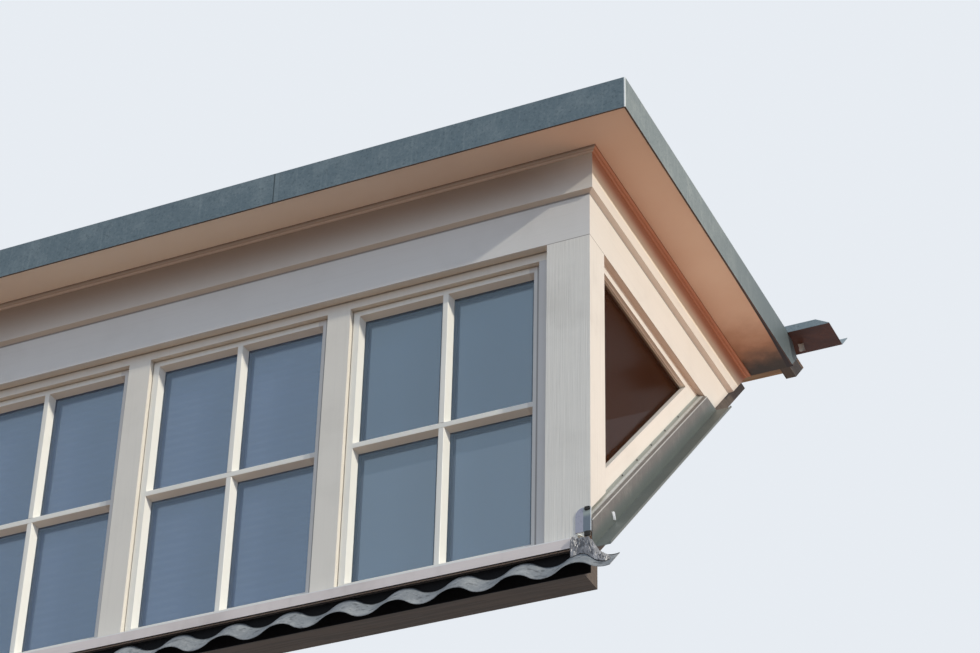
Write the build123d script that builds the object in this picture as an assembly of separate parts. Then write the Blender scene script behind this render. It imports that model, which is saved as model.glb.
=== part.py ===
from build123d import *
import math
import os

# Flat-roofed timber dormer window with four glazed bays, triangular side lights and zinc edges.
# Millimetres. X runs along the front, Y goes into the main roof, Z is up. The origin is at the
# middle of the underside of the sole plate, halfway through the thickness of the front wall.

# Front wall
bay_count = 4
bay_width = 800.0
mullion_width = 100.0
jamb_face = 47.0
corner_board_width = 175.0
corner_stud_width = 90.0
wall_depth = 120.0
board_thickness = 25.0

# Heights above the underside of the sole plate
sill_underside = 94.0
sill_face_height = 42.0
header_bottom = 1445.0
header_height = 195.0
frieze_height = 194.0

# Window frame and sashes, with depths counted back from the face of the boards
frame_recess = 35.0
frame_head_height = 40.0
stop_width = 12.0
sash_recess = 57.0
sash_thickness = 52.0
sash_gap = 4.0
stile_width = 38.0
top_rail_height = 35.0
bottom_rail_height = 62.0
sash_bevel = 12.0
glass_recess = 87.0
glass_thickness = 20.0
glass_edge_cover = 8.0

# Sill
sill_projection = 30.0
sill_end_setback = 62.0
sill_top_fall = 10.0
drip_groove_width = 8.0
drip_groove_depth = 5.0
drip_groove_inset = 8.0

# Cheeks, the triangular side walls with their fixed lights
cheek_thickness = 100.0
side_board_width = 140.0
cheek_frame_width = 40.0
cheek_sill_width = 20.0
cheek_bead_width = 6.0
cheek_bead_recess = 37.0
cheek_glass_recess = 47.0
cheek_glass_thickness = 16.0

# Boards and mouldings under the eaves
frieze_projection = 18.5
frieze_chamfer = 10.0
cornice_projection = 21.5
cornice_height = 19.0
cornice_lip = 3.0
cornice_step = 12.0

# Flat roof
front_overhang = 208.0
side_overhang = 233.0
soffit_thickness = 12.0
joist_depth = 100.0
joist_width = 45.0
joist_count = 10
edge_board_thickness = 22.0
edge_upstand = 7.0
deck_thickness = 18.0
zinc_thickness = 2.0
fascia_drop = 5.0
fascia_drip_return = 7.0
fascia_flange_lip = 5.0
fascia_sheet_length = 1500.0
fascia_seam_gap = 1.0
fascia_tail_reach = 60.0
covering_seam_height = 22.0
covering_seam_width = 10.0
covering_seam_count = 7
covering_seam_end = 30.0

# Back gutter between the flat roof and the tiles, which sheds past both ends of the roof
gutter_width = 179.0
gutter_height = 34.0
gutter_reach = 188.0
gutter_apron_length = 120.0
gutter_end_slant = 60.0

# Planes of the main roof, as heights above the origin where they pass the front face
roof_pitch = 45.5
rafter_rise = 18.0
cladding_rise = 108.0
tile_rise = 125.0
cheek_rail_rise = 332.5
cheek_plate_rise = 240.0
corner_board_rise = 253.0

# Side flashings, folded from sheet
flashing_thickness = 3.0
flashing_nailed_height = 10.0
flashing_fold_drop = 28.0
flashing_stand_off = 5.0
flashing_foot_rise = 96.0
flashing_tray_width = 70.0
flashing_tray_upturn = 12.0
flashing_head_gap = 2.0

# Corner flashings
corner_flashing_width = 56.0
corner_flashing_return = 40.0
corner_flashing_bottom = 165.0
corner_flashing_top = 262.0
corner_flashing_side_rise = 200.0
corner_flashing_radius = 30.0

# Lead apron, dressed over the waves of the pantiles below the sill
tile_cover_width = 229.0
apron_wave_height = 38.0
apron_length = 130.0
apron_thickness = 3.0
apron_crest_rise = 92.0
apron_side_reach = 108.0

# Pleated blinds, fixed to the backs of the sashes of every bay but the two outer ones
blind_thickness = 6.0
blind_side_clearance = 8.0
blind_end_clearance = 10.0

# Derived places
tan_pitch = math.tan(math.radians(roof_pitch))
cos_pitch = math.cos(math.radians(roof_pitch))
sin_pitch = math.sin(math.radians(roof_pitch))
frieze_bottom = header_bottom + header_height
soffit_underside = frieze_bottom + frieze_height
bay_pitch = bay_width + mullion_width
glazed_width = bay_count * bay_width + (bay_count - 1) * mullion_width
half_width = glazed_width / 2 + jamb_face + corner_board_width
x_board_back = half_width - board_thickness
x_stud = x_board_back - corner_stud_width
x_jamb = glazed_width / 2
x_cheek = half_width - cheek_thickness
y_face = -wall_depth / 2
y_back = wall_depth / 2
y_board_back = y_face + board_thickness
y_frame = y_face + frame_recess
y_sash = y_face + sash_recess
y_sash_back = y_sash + sash_thickness
y_glass = y_face + glass_recess
sill_top = sill_underside + sill_face_height + sill_top_fall
frame_head_bottom = header_bottom - frame_head_height
soffit_top = soffit_underside + soffit_thickness
joist_top = soffit_top + joist_depth
deck_top = joist_top + deck_thickness
covering_top = deck_top + zinc_thickness
edge_top = deck_top + edge_upstand
fascia_bottom = soffit_underside - fascia_drop
fascia_top = edge_top + zinc_thickness
y_eaves = y_face - front_overhang
x_eaves = half_width + side_overhang
y_edge_back = y_eaves + zinc_thickness + edge_board_thickness
x_edge_back = x_eaves - zinc_thickness - edge_board_thickness
cheek_frame_rise = cheek_rail_rise - cheek_sill_width / cos_pitch
edge_zone = 2 * (edge_board_thickness + zinc_thickness)
far = 4000.0



def block(x0, x1, y0, y1, z0, z1):
    """Rectangular timber between two corners."""
    return Pos((x0 + x1) / 2, (y0 + y1) / 2, (z0 + z1) / 2) * Box(x1 - x0, y1 - y0, z1 - z0)


def prism_along_x(points, x0, x1):
    """Outline of (y, z) points drawn out from x0 to x1."""
    outline = make_face(Polyline(*[(x0, y, z) for y, z in points], close=True))
    return extrude(outline, amount=x1 - x0, dir=(1, 0, 0))


def prism_along_z(points, z0, z1):
    """Outline of (x, y) points drawn out from z0 to z1."""
    outline = make_face(Polyline(*[(x, y, z0) for x, y in points], close=True))
    return extrude(outline, amount=z1 - z0, dir=(0, 0, 1))


def slope_z(y, rise):
    """Height at y of a plane at the roof's pitch that passes the front face at this rise."""
    return rise + (y - y_face) * tan_pitch


def slope_y(z, rise):
    """Depth at which a plane at the roof's pitch reaches the height z."""
    return y_face + (z - rise) / tan_pitch


def prism_up_slope(points, y0, y1):
    """Outline of (x, rise) points drawn out up the roof's slope from y0 to y1."""
    outline = make_face(Polyline(*[(x, y0, slope_z(y0, rise)) for x, rise in points], close=True))
    return extrude(outline, amount=(y1 - y0) / cos_pitch, dir=(0, cos_pitch, sin_pitch))


def below(height):
    """All space below a height, to cut sloping pieces off level."""
    return block(-far, far, -far, far, -far, height)


def gutter_front():
    """Depth of the back gutter's front wall: the gutter's width short of the tiles."""
    return slope_y(covering_top, tile_rise) - gutter_width


def folded_sheet(path, thickness):
    """Closed outline of a folded sheet: the path and its copy offset to the left of it."""
    offset_path = []
    count = len(path)
    for i, (px, py) in enumerate(path):
        normals = []
        for a, b in ((i - 1, i), (i, i + 1)):
            if a >= 0 and b < count:
                dx = path[b][0] - path[a][0]
                dy = path[b][1] - path[a][1]
                length = math.hypot(dx, dy)
                normals.append((-dy / length, dx / length))
        nx = sum(n[0] for n in normals) / len(normals)
        ny = sum(n[1] for n in normals) / len(normals)
        scale = thickness / (nx * nx + ny * ny)
        offset_path.append((px + nx * scale, py + ny * scale))
    return path + offset_path[::-1]


def both_sides(right):
    """Right-hand piece and its mirror image on the left."""
    return [right, mirror(right, about=Plane.YZ)]


def wall_front_zone():
    """Zone of the boards along the front, which ends at 45 degree mitres on the corners."""
    inner = half_width - cheek_thickness
    outer = half_width + side_overhang
    y_in = y_face + cheek_thickness
    y_out = y_face - side_overhang
    return prism_along_z([(-outer, y_out), (outer, y_out), (inner, y_in), (-inner, y_in)], -far, far)


def wall_side_zone():
    """Zone of the boards along the right-hand side, behind the same mitre."""
    inner = half_width - cheek_thickness
    outer = half_width + side_overhang
    y_in = y_face + cheek_thickness
    y_out = y_face - side_overhang
    return prism_along_z([(outer, y_out), (outer, far), (inner, far), (inner, y_in)], -far, far)


def eaves_front_zone():
    """Zone of the eaves along the front: its mitres run from wall corner to roof corner."""
    return prism_along_z([(-x_eaves, y_eaves), (x_eaves, y_eaves), (half_width, y_face),
                          (x_board_back, y_board_back), (-x_board_back, y_board_back),
                          (-half_width, y_face)], -far, far)


def eaves_side_zone():
    """Zone of the eaves along the right-hand side, behind the same mitre."""
    return prism_along_z([(x_eaves, y_eaves), (x_eaves, far), (x_board_back, far),
                          (x_board_back, y_board_back), (half_width, y_face)], -far, far)


def fascia_front_zone():
    """Zone of the zinc along the front, which ends at 45 degree mitres on the roof's corners."""
    return prism_along_z([(-x_eaves, y_eaves), (x_eaves, y_eaves), (x_eaves - edge_zone, y_eaves + edge_zone),
                          (-x_eaves + edge_zone, y_eaves + edge_zone)], -far, far)


def fascia_side_zone():
    """Zone of the zinc along the right-hand side, behind the same mitre."""
    return prism_along_z([(x_eaves, y_eaves), (x_eaves, far), (x_eaves - edge_zone, far),
                          (x_eaves - edge_zone, y_eaves + edge_zone)], -far, far)


def bay_centres():
    """Middle of each glazed bay, from left to right."""
    first = -glazed_width / 2 + bay_width / 2
    return [first + i * bay_pitch for i in range(bay_count)]


def save(node, solids):
    """Write one node from a solid, or from a list of solids that don't touch."""
    pieces = solids if isinstance(solids, list) else [solids]
    shape = pieces[0] if len(pieces) == 1 else Compound(children=pieces)
    export_step(shape, os.path.join("parts", node + ".step"))


# Front wall


def sole_plate():
    """Bottom plate of the front wall, seated on the trimmer of the main roof."""
    return block(-x_board_back, x_board_back, y_face + apron_thickness, y_back, 0, sill_underside)


def front_sill():
    """Weathered sill with a falling nose, a drip groove and horns in front of the corner posts."""
    y_nose = y_face - sill_projection
    y_groove = y_nose + drip_groove_inset
    nose = [
        (y_nose, sill_underside),
        (y_groove, sill_underside),
        (y_groove, sill_underside + drip_groove_depth),
        (y_groove + drip_groove_width, sill_underside + drip_groove_depth),
        (y_groove + drip_groove_width, sill_underside),
        (y_board_back, sill_underside),
        (y_board_back, sill_top),
        (y_face, sill_top),
        (y_nose, sill_underside + sill_face_height),
    ]
    reach = half_width - sill_end_setback
    bed = block(-x_stud, x_stud, y_board_back, y_back, sill_underside, sill_top)
    return prism_along_x(nose, -reach, reach) + bed


def corner_studs():
    """Posts inside the two front corners."""
    return both_sides(block(x_stud, x_board_back, y_board_back, y_back, sill_underside, header_bottom))


def front_lintel():
    """Beam over the windows, behind the header board."""
    return block(-x_board_back, x_board_back, y_board_back, y_back, header_bottom, frieze_bottom)


def front_wall_plate():
    """Plate on the lintel that carries the roof joists."""
    return block(-x_board_back, x_board_back, y_board_back, y_back, frieze_bottom, soffit_top)


def frame_head():
    """Head rail of the window frame, in one plane with the mullions."""
    return block(-x_stud, x_stud, y_frame, y_back, frame_head_bottom, header_bottom)


def frame_jambs():
    """Outer jambs of the window frame with the stop that the sash closes on."""
    outline = [(x_jamb, y_frame), (x_stud, y_frame), (x_stud, y_back), (x_jamb - stop_width, y_back),
               (x_jamb - stop_width, y_sash_back), (x_jamb, y_sash_back)]
    return both_sides(prism_along_z(outline, sill_top, frame_head_bottom))


def mullion_posts():
    """Posts between the bays, each with a stop on both sides at the back."""
    half = mullion_width / 2
    stop = half + stop_width
    outline = [(-half, y_frame), (half, y_frame), (half, y_sash_back), (stop, y_sash_back),
               (stop, y_back), (-stop, y_back), (-stop, y_sash_back), (-half, y_sash_back)]
    post = prism_along_z(outline, sill_top, frame_head_bottom)
    return [Pos((a + b) / 2, 0, 0) * post for a, b in zip(bay_centres(), bay_centres()[1:])]


def glass_edges(cover):
    """Half width, foot and head of the sash opening, let into the wood by a cover."""
    half = bay_width / 2 - sash_gap - stile_width + cover
    foot = sill_top + bottom_rail_height - cover
    head = frame_head_bottom - sash_gap - top_rail_height + cover
    return half, foot, head


def light_face(y, cover):
    """Upright rectangle of the sash opening at a depth y."""
    half, foot, head = glass_edges(cover)
    corners = [(-half, y, foot), (half, y, foot), (half, y, head), (-half, y, head)]
    return make_face(Polyline(*corners, close=True))


def window_sash():
    """Sash with a bevelled glazing rebate outside and a groove for the sealed unit inside."""
    half = bay_width / 2 - sash_gap
    blank = block(-half, half, y_sash, y_sash_back, sill_top, frame_head_bottom - sash_gap)
    bevel = loft([light_face(y_sash, sash_bevel), light_face(y_glass, 0)])
    seat = extrude(light_face(y_glass, glass_edge_cover), amount=y_sash_back - y_glass, dir=(0, 1, 0))
    return blank - bevel - seat


def window_glass():
    """Sealed glass unit, bedded in its groove at the back of the sash."""
    return extrude(light_face(y_glass, glass_edge_cover), amount=glass_thickness, dir=(0, 1, 0))


def blinds():
    """Lowered blinds behind the glass, seated on the backs of the sashes."""
    half = bay_width / 2 - stop_width - blind_side_clearance
    blind = block(-half, half, y_sash_back, y_sash_back + blind_thickness,
                  sill_top + blind_end_clearance, frame_head_bottom - blind_end_clearance)
    return [Pos(x, 0, 0) * blind for x in bay_centres()[1:-1]]


# Boards on the wall


def corner_boards_front():
    """Wide upright boards on the front of the corners, standing on the sill."""
    board = block(half_width - corner_board_width, half_width, y_face, y_board_back,
                  sill_top, header_bottom)
    return both_sides(board & wall_front_zone())


def corner_boards_side():
    """Upright boards round the corner, cut off at the pitch above the side flashing."""
    y_end = y_face + side_board_width
    outline = [(y_face, corner_board_rise), (y_end, slope_z(y_end, corner_board_rise)),
               (y_end, header_bottom), (y_face, header_bottom)]
    return both_sides(prism_along_x(outline, x_board_back, half_width) & wall_side_zone())


def header_board_front():
    """Flat board over the windows, which runs up behind the frieze."""
    return block(-half_width, half_width, y_face, y_board_back,
                 header_bottom, soffit_underside) & wall_front_zone()


def side_band(x0, x1, outline_front, z0, z1):
    """Level board along the right-hand side, cut off at the pitch above the tiles."""
    outline = [(outline_front, z0), (slope_y(z0, cladding_rise), z0),
               (slope_y(z1, cladding_rise), z1), (outline_front, z1)]
    return prism_along_x(outline, x0, x1)


def header_boards_side():
    """Flat boards along the top of the cheeks."""
    board = side_band(x_board_back, half_width, y_face, header_bottom, soffit_underside)
    return both_sides(board & wall_side_zone())


def frieze_board_front():
    """Raised board over the header board, chamfered underneath."""
    y_out = y_face - frieze_projection
    outline = [(y_face, frieze_bottom), (y_face, soffit_underside), (y_out, soffit_underside),
               (y_out, frieze_bottom + frieze_chamfer)]
    reach = half_width + frieze_projection
    return prism_along_x(outline, -reach, reach) & wall_front_zone()


def frieze_boards_side():
    """Raised boards along the cheeks, mitred to the front one."""
    x_out = half_width + frieze_projection
    board = side_band(half_width, x_out, y_face - frieze_projection, frieze_bottom, soffit_underside)
    chamfer = extrude(make_face(Polyline((half_width, -far, frieze_bottom),
                                         (x_out, -far, frieze_bottom + frieze_chamfer),
                                         (x_out, -far, frieze_bottom), close=True)),
                      amount=2 * far, dir=(0, 1, 0))
    return both_sides((board - chamfer) & wall_side_zone())


def cornice_outline():
    """Double-beaded moulding as a closed wire: out from the frieze, down from the soffit."""
    p = cornice_projection
    h = cornice_height
    s = cornice_step
    mid = p - (s - cornice_lip)
    top = Line((0, 0), (p, 0))
    lip = Line((p, 0), (p, -cornice_lip))
    upper_bead = JernArc((p, -cornice_lip), (0, -1), s - cornice_lip, -90)
    quirk = Line((mid, -s), (mid - cornice_lip, -s))
    lower_bead = JernArc((mid - cornice_lip, -s), (0, -1), h - s, -90)
    return [top, lip, upper_bead, quirk, lower_bead, Polyline(lower_bead @ 1, (0, -h), (0, 0))]


def cornice_front():
    """Cornice moulding under the soffit along the front, mitred at the corners."""
    plane = Plane(origin=(-x_eaves, y_face - frieze_projection, soffit_underside),
                  x_dir=(0, -1, 0), z_dir=(-1, 0, 0))
    outline = plane * make_face(cornice_outline())
    return extrude(outline, amount=2 * x_eaves, dir=(1, 0, 0)) & wall_front_zone()


def cornices_side():
    """Cornice mouldings along the cheeks, cut off at the pitch above the tiles."""
    plane = Plane(origin=(half_width + frieze_projection, y_face - side_overhang, soffit_underside),
                  x_dir=(1, 0, 0), z_dir=(0, -1, 0))
    outline = plane * make_face(cornice_outline())
    run = extrude(outline, amount=far, dir=(0, 1, 0))
    span = side_band(half_width, x_eaves, y_eaves, frieze_bottom, soffit_underside)
    return both_sides(run & span & wall_side_zone())


# Cheeks


def cheek_head_beams():
    """Beams over the side lights, which carry the outer joists, cut to the rafters."""
    outline = [(y_back, header_bottom), (slope_y(header_bottom, rafter_rise), header_bottom),
               (slope_y(soffit_top, rafter_rise), soffit_top), (y_back, soffit_top)]
    return both_sides(prism_along_x(outline, x_cheek, x_board_back))


def cheek_plates():
    """Sloping plates on the rafters, rebated along the top for the cover boards."""
    x_rebate = x_board_back - board_thickness
    outline = [(x_cheek, rafter_rise), (x_board_back, rafter_rise), (x_board_back, cheek_plate_rise),
               (x_rebate, cheek_plate_rise), (x_rebate, cheek_frame_rise), (x_cheek, cheek_frame_rise)]
    run = prism_up_slope(outline, y_back, slope_y(header_bottom, rafter_rise))
    return both_sides(run & below(header_bottom))


def cheek_cover_boards():
    """Sloping boards below the side lights, flush with the frames of the lights."""
    x_in = x_board_back - board_thickness
    outline = [(x_in, cheek_plate_rise), (x_board_back, cheek_plate_rise),
               (x_board_back, cheek_frame_rise), (x_in, cheek_frame_rise)]
    run = prism_up_slope(outline, y_back, slope_y(header_bottom, cheek_plate_rise))
    return both_sides(run & below(header_bottom))


def light_triangle(inset, sill_inset):
    """Triangle of the side light in (y, z), moved inwards on two sides and on the sloping one."""
    y_front = y_back + inset
    z_head = header_bottom - inset
    rise = cheek_frame_rise + sill_inset / cos_pitch
    return [(y_front, slope_z(y_front, rise)), (slope_y(z_head, rise), z_head), (y_front, z_head)]


def light_pane():
    """Outline of the side light's pane, which the frame covers along its edges."""
    return light_triangle(cheek_frame_width + cheek_bead_width - glass_edge_cover,
                          cheek_sill_width - glass_edge_cover)


def cheek_frames():
    """Triangular frames with glazing beads at head and front and a rebate for the glass inside."""
    bead_inset = cheek_frame_width + cheek_bead_width
    x_bead = half_width - cheek_bead_recess
    x_glass = half_width - cheek_glass_recess
    frame = prism_along_x(light_triangle(0, 0), x_cheek, x_board_back)
    step = prism_along_x(light_triangle(cheek_frame_width, cheek_sill_width), x_bead, x_board_back)
    light = prism_along_x(light_triangle(bead_inset, cheek_sill_width), x_cheek, x_board_back)
    seat = prism_along_x(light_pane(), x_cheek, x_glass)
    return both_sides(frame - step - light - seat)


def cheek_glass():
    """Fixed triangular panes of the cheeks."""
    x_glass = half_width - cheek_glass_recess
    return both_sides(prism_along_x(light_pane(), x_glass - cheek_glass_thickness, x_glass))


# Flat roof


def soffit_front():
    """Soffit board under the front overhang."""
    return block(-x_eaves, x_eaves, y_eaves + zinc_thickness, y_board_back,
                 soffit_underside, soffit_top) & eaves_front_zone()


def soffits_side():
    """Soffit boards under the side overhangs, cut off at the pitch above the tiles."""
    board = side_band(x_board_back, x_eaves - zinc_thickness, y_eaves + zinc_thickness,
                      soffit_underside, soffit_top)
    return both_sides(board & eaves_side_zone())


def ceiling_lining():
    """Lining under the joists inside the dormer."""
    outline = [(y_back, soffit_underside), (slope_y(soffit_underside, rafter_rise), soffit_underside),
               (slope_y(soffit_top, rafter_rise), soffit_top), (y_back, soffit_top)]
    return prism_along_x(outline, -x_cheek, x_cheek)


def roof_joists():
    """Roof joists from the edge board to the rafters, evenly spaced."""
    outline = [(y_edge_back, soffit_top), (slope_y(soffit_top, rafter_rise), soffit_top),
               (slope_y(joist_top, rafter_rise), joist_top), (y_edge_back, joist_top)]
    joist = prism_along_x(outline, -joist_width / 2, joist_width / 2)
    reach = x_edge_back - joist_width / 2
    step = 2 * reach / (joist_count - 1)
    return [Pos(-reach + i * step, 0, 0) * joist for i in range(joist_count)]


def edge_board_front():
    """Edge board across the joist ends, behind the zinc fascia."""
    return block(-x_eaves + zinc_thickness, x_eaves - zinc_thickness, y_eaves + zinc_thickness,
                 y_edge_back, soffit_top, edge_top)


def edge_boards_side():
    """Edge boards along the outer joists."""
    y_low = slope_y(soffit_top, cladding_rise)
    y_rear = gutter_front() - zinc_thickness
    outline = [(y_edge_back, soffit_top), (y_low, soffit_top), (y_low, deck_top), (y_rear, deck_top),
               (y_rear, edge_top), (y_edge_back, edge_top)]
    return both_sides(prism_along_x(outline, x_edge_back, x_eaves - zinc_thickness))


def roof_deck():
    """Boarded deck on the joists, cut to the rafters."""
    outline = [(y_edge_back, joist_top), (slope_y(joist_top, rafter_rise), joist_top),
               (slope_y(deck_top, rafter_rise), deck_top), (y_edge_back, deck_top)]
    return prism_along_x(outline, -x_edge_back, x_edge_back)


def roof_covering():
    """Zinc sheet on the deck, with standing seams that run up to the back gutter."""
    y_front = gutter_front()
    sheet = block(-x_edge_back, x_edge_back, y_edge_back, y_front + gutter_width, deck_top, covering_top)
    seam = block(-covering_seam_width / 2, covering_seam_width / 2, y_edge_back + covering_seam_end,
                 y_front - covering_seam_end, covering_top, covering_top + covering_seam_height)
    step = 2 * x_edge_back / (covering_seam_count + 1)
    for i in range(covering_seam_count):
        sheet += Pos(-x_edge_back + (i + 1) * step, 0, 0) * seam
    return sheet


def fascia_path(inward):
    """Fold line of the zinc fascia: drip, face, flange over the edge board and turned-down lip."""
    flange = zinc_thickness + edge_board_thickness + zinc_thickness
    return [(inward * fascia_drip_return, fascia_bottom), (0, fascia_bottom), (0, fascia_top),
            (inward * flange, fascia_top), (inward * flange, fascia_top - fascia_flange_lip)]


def fascia_outline():
    """Section of the fascia as (distance in from the face, height)."""
    return folded_sheet([(-x, z) for x, z in fascia_path(-1)][::-1], zinc_thickness)


def fascia_front():
    """Zinc fascia along the front, in sheets that meet at upright seams."""
    outline = [(y_eaves + d, z) for d, z in fascia_outline()]
    run = prism_along_x(outline, -x_eaves, x_eaves) & fascia_front_zone()
    x_seam = x_eaves - fascia_sheet_length
    half_gap = fascia_seam_gap / 2
    sheets = []
    for x0, x1 in ((-x_eaves, -x_seam - half_gap), (-x_seam + half_gap, x_seam - half_gap),
                   (x_seam + half_gap, x_eaves)):
        sheets.append(run & block(x0, x1, y_eaves - board_thickness, y_face, 0, far))
    return sheets


def fascias_side():
    """Zinc fascias along the sides, whose tails come down to a point on the tiles."""
    outline = [(x_eaves - d, y_eaves, z) for d, z in fascia_outline()]
    run = extrude(make_face(Polyline(*outline, close=True)), amount=far, dir=(0, 1, 0))
    y_top = gutter_front() + fascia_tail_reach
    height = deck_top - slope_z(y_top, tile_rise)
    side_view = [
        (y_eaves, fascia_bottom),
        (slope_y(fascia_bottom, tile_rise), fascia_bottom),
        (y_top + height * cos_pitch * sin_pitch, deck_top - height * cos_pitch ** 2),
        (y_top, deck_top),
        (gutter_front() - zinc_thickness, deck_top),
        (gutter_front() - zinc_thickness, fascia_top),
        (y_eaves, fascia_top),
    ]
    span = prism_along_x(side_view, half_width, x_eaves)
    return both_sides(run & span & fascia_side_zone())


def gutter_end_cut(reach):
    """Corner taken off the gutter's front wall at its right-hand end, on a slant."""
    top = covering_top + gutter_height
    y_cut = gutter_front() - gutter_width / 2
    corners = [(reach - gutter_end_slant, top), (reach, covering_top + zinc_thickness), (reach, top)]
    outline = make_face(Polyline(*[(x, y_cut, z) for x, z in corners], close=True))
    return extrude(outline, amount=gutter_width, dir=(0, 1, 0))


def back_gutter():
    """Zinc gutter behind the flat roof, turned up the slope and longer than the roof is wide."""
    y_front = gutter_front()
    y_rear = y_front + gutter_width
    path = [(y_front, covering_top + gutter_height), (y_front, covering_top), (y_rear, covering_top),
            (y_rear + gutter_apron_length * cos_pitch, covering_top + gutter_apron_length * sin_pitch)]
    reach = x_eaves + gutter_reach
    run = prism_along_x(folded_sheet(path, zinc_thickness), -reach, reach)
    cut = gutter_end_cut(reach)
    return run - cut - mirror(cut, about=Plane.YZ)


# Flashings


def side_flashings():
    """Stepped flashings of the cheeks: nailed strip, slanting fold, upright and tray."""
    x_out = half_width + flashing_stand_off
    x_tray = x_out + flashing_tray_width
    path = [
        (x_board_back, cheek_plate_rise),
        (x_board_back, cheek_plate_rise - flashing_nailed_height),
        (x_out, cheek_plate_rise - flashing_fold_drop),
        (x_out, flashing_foot_rise),
        (x_tray, flashing_foot_rise),
        (x_tray, flashing_foot_rise + flashing_tray_upturn),
    ]
    head = header_bottom - flashing_head_gap
    run = prism_up_slope(folded_sheet(path, flashing_thickness), y_face,
                         slope_y(head, flashing_foot_rise))
    return both_sides(run & below(head) & wall_side_zone())


def corner_flashings():
    """Bent zinc pieces at the feet of the corner boards, round the corner above the sill."""
    x_out = half_width + flashing_thickness
    front = block(half_width - corner_flashing_width, x_out, y_face - flashing_thickness, y_face,
                  corner_flashing_bottom, corner_flashing_top)
    corner = front.edges().filter_by(Axis.Y).group_by(Axis.Z)[-1].sort_by(Axis.X)[0]
    front = fillet(corner, corner_flashing_radius)
    y_end = y_face + corner_flashing_return
    side = [(y_face, corner_flashing_bottom), (y_end, corner_flashing_bottom),
            (y_end, slope_z(y_end, corner_flashing_side_rise)), (y_face, corner_flashing_side_rise)]
    return both_sides(front + prism_along_x(side, half_width, x_out))


def wave_arcs(wave_count, crest):
    """Round troughs and crests along X, one tile wide each, with a trough in the middle."""
    quarter = tile_cover_width / 4
    half_height = apron_wave_height / 2
    middle = crest - half_height
    first = -(wave_count + 0.5) * tile_cover_width - quarter
    arcs = []
    for i in range(4 * wave_count + 3):
        x = first + 2 * i * quarter
        peak = middle - half_height if i % 2 else middle + half_height
        arcs.append(ThreePointArc((x, y_face, middle), (x + quarter, y_face, peak),
                                  (x + 2 * quarter, y_face, middle)))
    return arcs


def lead_apron():
    """Lead apron: an upstand against the sole plate and a skirt dressed over the pantiles."""
    reach = half_width + apron_side_reach
    wave_count = math.ceil(reach / tile_cover_width)
    edge = Wire(wave_arcs(wave_count, apron_crest_rise))
    lower = Pos(0, 0, -apron_thickness) * edge
    ends = [Line(edge @ 1, lower @ 1), Line(edge @ 0, lower @ 0)]
    outline = make_face(Wire(edge.edges() + lower.edges() + ends))
    skirt = extrude(outline, amount=apron_length, dir=(0, -cos_pitch, -sin_pitch))
    skirt = skirt & block(-reach, reach, -far, far, -far, far)
    upstand = block(-half_width, half_width, y_face, y_face + apron_thickness, 0, sill_underside)
    return skirt + upstand


os.makedirs("parts", exist_ok=True)
save("sole_plate", sole_plate())
save("front_sill", front_sill())
save("corner_studs", corner_studs())
save("front_lintel", front_lintel())
save("front_wall_plate", front_wall_plate())
save("frame_head", frame_head())
save("frame_jambs", frame_jambs())
save("mullion_posts", mullion_posts())
sash = window_sash()
glass = window_glass()
for number, x in enumerate(bay_centres(), start=1):
    save(f"window_sash_{number}", Pos(x, 0, 0) * sash)
    save(f"window_glass_{number}", Pos(x, 0, 0) * glass)
save("blinds", blinds())
save("corner_boards_front", corner_boards_front())
save("corner_boards_side", corner_boards_side())
save("header_board_front", header_board_front())
save("header_boards_side", header_boards_side())
save("frieze_board_front", frieze_board_front())
save("frieze_boards_side", frieze_boards_side())
save("cornice_front", cornice_front())
save("cornices_side", cornices_side())
save("cheek_head_beams", cheek_head_beams())
save("cheek_plates", cheek_plates())
save("cheek_cover_boards", cheek_cover_boards())
save("cheek_frames", cheek_frames())
save("cheek_glass", cheek_glass())
save("soffit_front", soffit_front())
save("soffits_side", soffits_side())
save("ceiling_lining", ceiling_lining())
save("roof_joists", roof_joists())
save("edge_board_front", edge_board_front())
save("edge_boards_side", edge_boards_side())
save("roof_deck", roof_deck())
save("roof_covering", roof_covering())
save("fascia_front", fascia_front())
save("fascias_side", fascias_side())
save("back_gutter", back_gutter())
save("side_flashings", side_flashings())
save("corner_flashings", corner_flashings())
save("lead_apron", lead_apron())
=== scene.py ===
"""Looks of a flat-roofed timber dormer window: finishes, glazing bars, blinds, nails and dressed lead.

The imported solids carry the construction. This file gives every one of them its finish and adds what is
too fine for them. All lengths are metres, in the frame of the solids: X along the front, Y from the front
to the back, Z up, with the origin under the sole plate of the front wall.
"""

import logging
import math
from dataclasses import dataclass
from enum import Enum
from functools import cached_property
from typing import Any, Callable, Iterable, Mapping, Optional, Sequence, Union

import bmesh
import bpy
from mathutils import Matrix, Vector, noise


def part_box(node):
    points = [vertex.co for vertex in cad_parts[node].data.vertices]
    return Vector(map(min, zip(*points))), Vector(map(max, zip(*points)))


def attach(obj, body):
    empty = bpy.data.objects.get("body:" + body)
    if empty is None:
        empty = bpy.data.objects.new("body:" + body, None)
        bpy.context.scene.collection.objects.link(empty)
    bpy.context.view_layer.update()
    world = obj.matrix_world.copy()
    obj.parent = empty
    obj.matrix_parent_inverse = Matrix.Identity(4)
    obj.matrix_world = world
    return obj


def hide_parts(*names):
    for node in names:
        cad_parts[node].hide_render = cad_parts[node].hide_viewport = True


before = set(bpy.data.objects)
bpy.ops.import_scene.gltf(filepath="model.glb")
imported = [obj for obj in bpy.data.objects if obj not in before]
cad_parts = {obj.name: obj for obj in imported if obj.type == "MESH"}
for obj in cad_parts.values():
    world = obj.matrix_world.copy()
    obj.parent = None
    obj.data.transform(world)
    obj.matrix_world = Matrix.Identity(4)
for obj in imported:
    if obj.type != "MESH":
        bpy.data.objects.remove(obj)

logging.basicConfig(level=logging.INFO, format="%(message)s")
log = logging.getLogger("dormer")

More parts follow.
